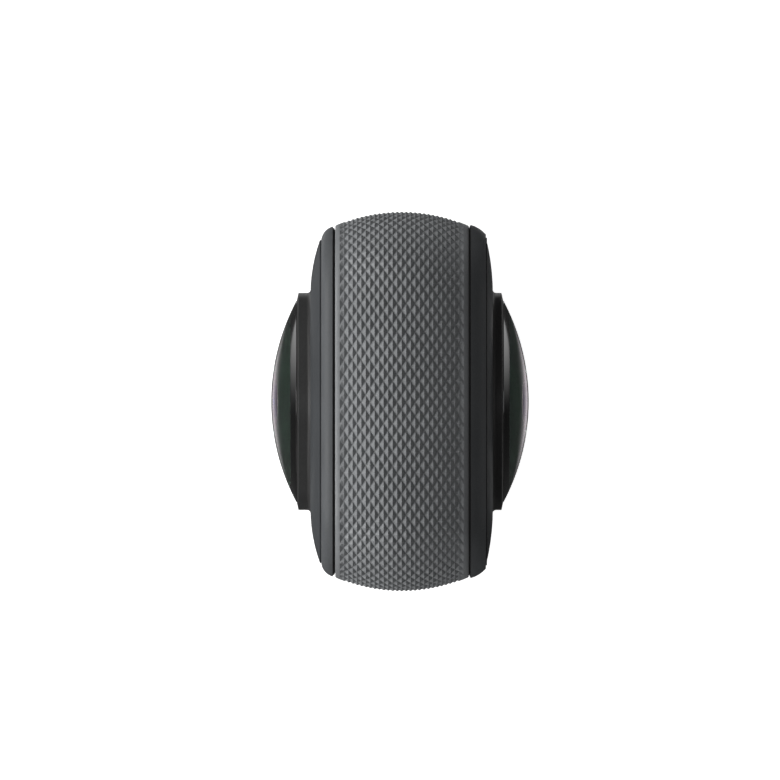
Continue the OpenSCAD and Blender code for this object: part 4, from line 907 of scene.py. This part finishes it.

# %% [markdown]
# ## Floor, light and camera
# The floor is pale, white to the camera, and keeps the shadow. The domes and bezels are seen at a flat angle
# and mirror only this floor, so their highlights are painted on it for reflections alone: there the floor is
# painted dark, a glow close to the object paints the domes' bright edge, and a glow further out paints a
# highlight that the bezels alone mirror. The Light Path node shows this painted dark and glow to reflections
# only.

# %% Painted highlights on the floor, seen by reflections only
# Where the glows that paint the highlights of domes and bezels rise and fade, in metres.
DOME_HIGHLIGHT_RISE, DOME_HIGHLIGHT_FADE, DOME_HIGHLIGHT_SIDE = (0.030, 0.039), (0.045, 0.082), (0.018, 0.006)
DOME_SEES, BEZEL_HIGHLIGHT_EDGE = (0.040, 0.134), (0.97, 1.02)
BEZEL_HIGHLIGHT_SLOPE, BEZEL_HIGHLIGHT_RIM = (-0.035, 0.012), (-0.065, -0.045)


def painted_dome_highlight(tree, place, x):
    """Painted highlight for the domes' bright edge: a glow that rises and then fades, squared, with the
    distance from the origin, and lies before and behind the object, near the plane where X is zero."""
    away = vector_length(tree, place)
    fade = calc(tree, "POWER", ramp(tree, away, *DOME_HIGHLIGHT_FADE, 1.0, 0.0), 2.0)
    near = ramp(tree, calc(tree, "ABSOLUTE", x), *DOME_HIGHLIGHT_SIDE)
    return calc(tree, "MULTIPLY", fade, calc(tree, "MULTIPLY", ramp(tree, away, *DOME_HIGHLIGHT_RISE), near))


def painted_bezel_highlight(tree, place, x):
    """Painted highlight for the bezels: a glow, none inside the ellipse of floor that the domes mirror, then a
    fall along X, squared, from an outer rim."""
    inverse = (1 / DOME_SEES[0], 1 / DOME_SEES[1], 0)
    spread = add(tree, "VectorMath", {0: place, 1: inverse}, operation="MULTIPLY").outputs[0]
    past = ramp(tree, vector_length(tree, spread), *BEZEL_HIGHLIGHT_EDGE)
    slope = calc(tree, "POWER", ramp(tree, x, *BEZEL_HIGHLIGHT_SLOPE, 1.0, 0.0), 2.0)
    return calc(tree, "MULTIPLY", calc(tree, "MULTIPLY", past, slope), ramp(tree, x, *BEZEL_HIGHLIGHT_RIM))


def background_lift(tree, seen, gloss):
    """How far a background is lifted to white: one amount for rays from the camera or through glass, another
    for rays off a gloss and none for the rest, so that the lamps alone light the object."""
    path = add(tree, "LightPath").outputs
    clear = calc(tree, "MAXIMUM", path["Is Camera Ray"], path["Is Transmission Ray"])
    shine = calc(tree, "MULTIPLY", path["Is Glossy Ray"], gloss)
    return calc(tree, "MAXIMUM", calc(tree, "MULTIPLY", clear, seen), shine)


print("floor that the domes mirror, in mm:", [round(2000 * v) for v in DOME_SEES])

# %% The floor
PALE, PALE_DEEP, PAINTED_DARK_REFLECTION = (0.80, 0.80, 0.80, 1), (0.78, 0.78, 0.78, 1), (0.09, 0.09, 0.09, 1)
FLOOR_LIFT = 0.95
FLOOR_RINGS, FLOOR_SPOKES = (0.0, 0.05, 0.2, 1.0, 5.0, 20.0), 96


def floor_look():
    """Pale with a faint grain; to reflections alone painted dark, with the painted highlights as glow."""
    made, tree, shader = material("pale floor")
    node = use_group(tree, grain, Tone=PALE, Deep=PALE_DEEP, Fine=300.0)
    # To reflections alone the floor's colour is painted dark: a painted dark reflection.
    glossy = add(tree, "LightPath").outputs["Is Glossy Ray"]
    tree.links.new(mix(tree, glossy, node.outputs["Color"], PAINTED_DARK_REFLECTION), shader.inputs["Base Color"])
    shader.inputs["Roughness"].default_value = 0.9
    shader.inputs["Specular IOR Level"].default_value = 0.0
    place = add(tree, "TexCoord").outputs["Object"]
    x = add(tree, "SeparateXYZ", {0: place}).outputs["X"]
    # Glow that reflections alone see: the painted highlights of domes and bezels.
    painted_highlights = calc(tree, "ADD", painted_dome_highlight(tree, place, x), painted_bezel_highlight(tree, place, x))
    shader.inputs["Emission Color"].default_value = (1, 1, 1, 1)
    tree.links.new(background_lift(tree, FLOOR_LIFT, painted_highlights), shader.inputs["Emission Strength"])
    return made


def floor_mesh():
    """A wide flat disc under the camera: circles of points round the origin, in metres."""
    spokes = np.arange(FLOOR_SPOKES) / FLOOR_SPOKES * 2 * math.pi
    r, a = np.meshgrid(FLOOR_RINGS, spokes, indexing="ij")
    points = np.stack([r * np.cos(a), r * np.sin(a), 0 * r], -1).reshape(-1, 3)
    faces = grid_faces(len(FLOOR_RINGS), FLOOR_SPOKES, close_columns=True)
    mesh = bpy.data.meshes.new("floor")
    mesh.from_pydata(points.tolist(), [], faces.tolist())
    mesh.materials.append(floor_look())
    return mesh


floor = bpy.data.objects.new("floor", floor_mesh())
scene.collection.objects.link(floor)
print("floor faces:", len(floor.data.polygons))

# %% [markdown]
# The world is a dim grey that fills the shadows, white to the camera and through glass. The lamps are large
# and soft: a key from the front, a softbox on each side, a weak one overhead and a fill from the rear.

# %% World and lamps
AMBIENT, WORLD_SHINE, WHITE = (0.066, 0.066, 0.066, 1), 0.1, (1, 1, 1, 1)
world = bpy.data.worlds.new("studio")
scene.world = world
world.use_nodes = True
tree = world.node_tree
tree.nodes.clear()
backdrop = mix(tree, background_lift(tree, 1.0, WORLD_SHINE), AMBIENT, WHITE)
glow = add(tree, "Background", {"Color": backdrop, "Strength": 1.0})
add(tree, "OutputWorld", {"Surface": glow.outputs["Background"]})


def softbox(name, place, size, power, target=(0, 0, LENS_Z * MM)):
    """An area light of two sizes that looks at a point, and isn't seen itself."""
    light = bpy.data.lights.new(name, "AREA")
    light.shape = "RECTANGLE"
    light.energy = power
    light.size, light.size_y = size
    obj = bpy.data.objects.new(name, light)
    scene.collection.objects.link(obj)
    obj.location = place
    obj.rotation_mode = "QUATERNION"
    obj.rotation_quaternion = (Vector(target) - Vector(place)).to_track_quat("-Z", "Y")
    obj.visible_camera = False


softbox("key from the front", (0.0, -1.1, 0.42), (0.45, 0.45), 10.4)
softbox("softbox over the left side", (-0.85, -0.75, 0.42), (1.1, 0.8), 5.7)
softbox("softbox over the right side", (0.85, -0.75, 0.42), (1.1, 0.8), 5.3)
softbox("fill from the rear", (0.0, 1.2, 0.2), (0.6, 0.4), 1.2)
softbox("softbox overhead", (0.0, -0.15, 1.25), (0.5, 0.5), 1.1)
print("lamps:", len(bpy.data.lights))

# %% [markdown]
# The photo is nearly parallel, so the camera has a long lens far away. It looks straight down, with the left
# side of the object at the top of the picture.

# %% The camera
PX_PER_MM, IMAGE, SHIFT_PX = 8.26, 780, (-11.5, -10.0)
SENSOR, DISTANCE, FAR = 36.0, 3.0, 50.0
camera_data = bpy.data.cameras.new("photo camera")
camera_data.sensor_width = SENSOR
camera_data.lens = SENSOR * DISTANCE / (IMAGE / PX_PER_MM * MM)
camera_data.clip_end = FAR
camera = bpy.data.objects.new("photo camera", camera_data)
scene.collection.objects.link(camera)
shift_x, shift_y = (v / PX_PER_MM * MM for v in SHIFT_PX)
camera.location = (shift_x, shift_y, TOP_Z * MM + DISTANCE)
camera.rotation_euler = (0, 0, math.pi / 2)
scene.camera = camera
scene.view_settings.view_transform = "Standard"
print("lens in mm:", round(camera_data.lens, 1))
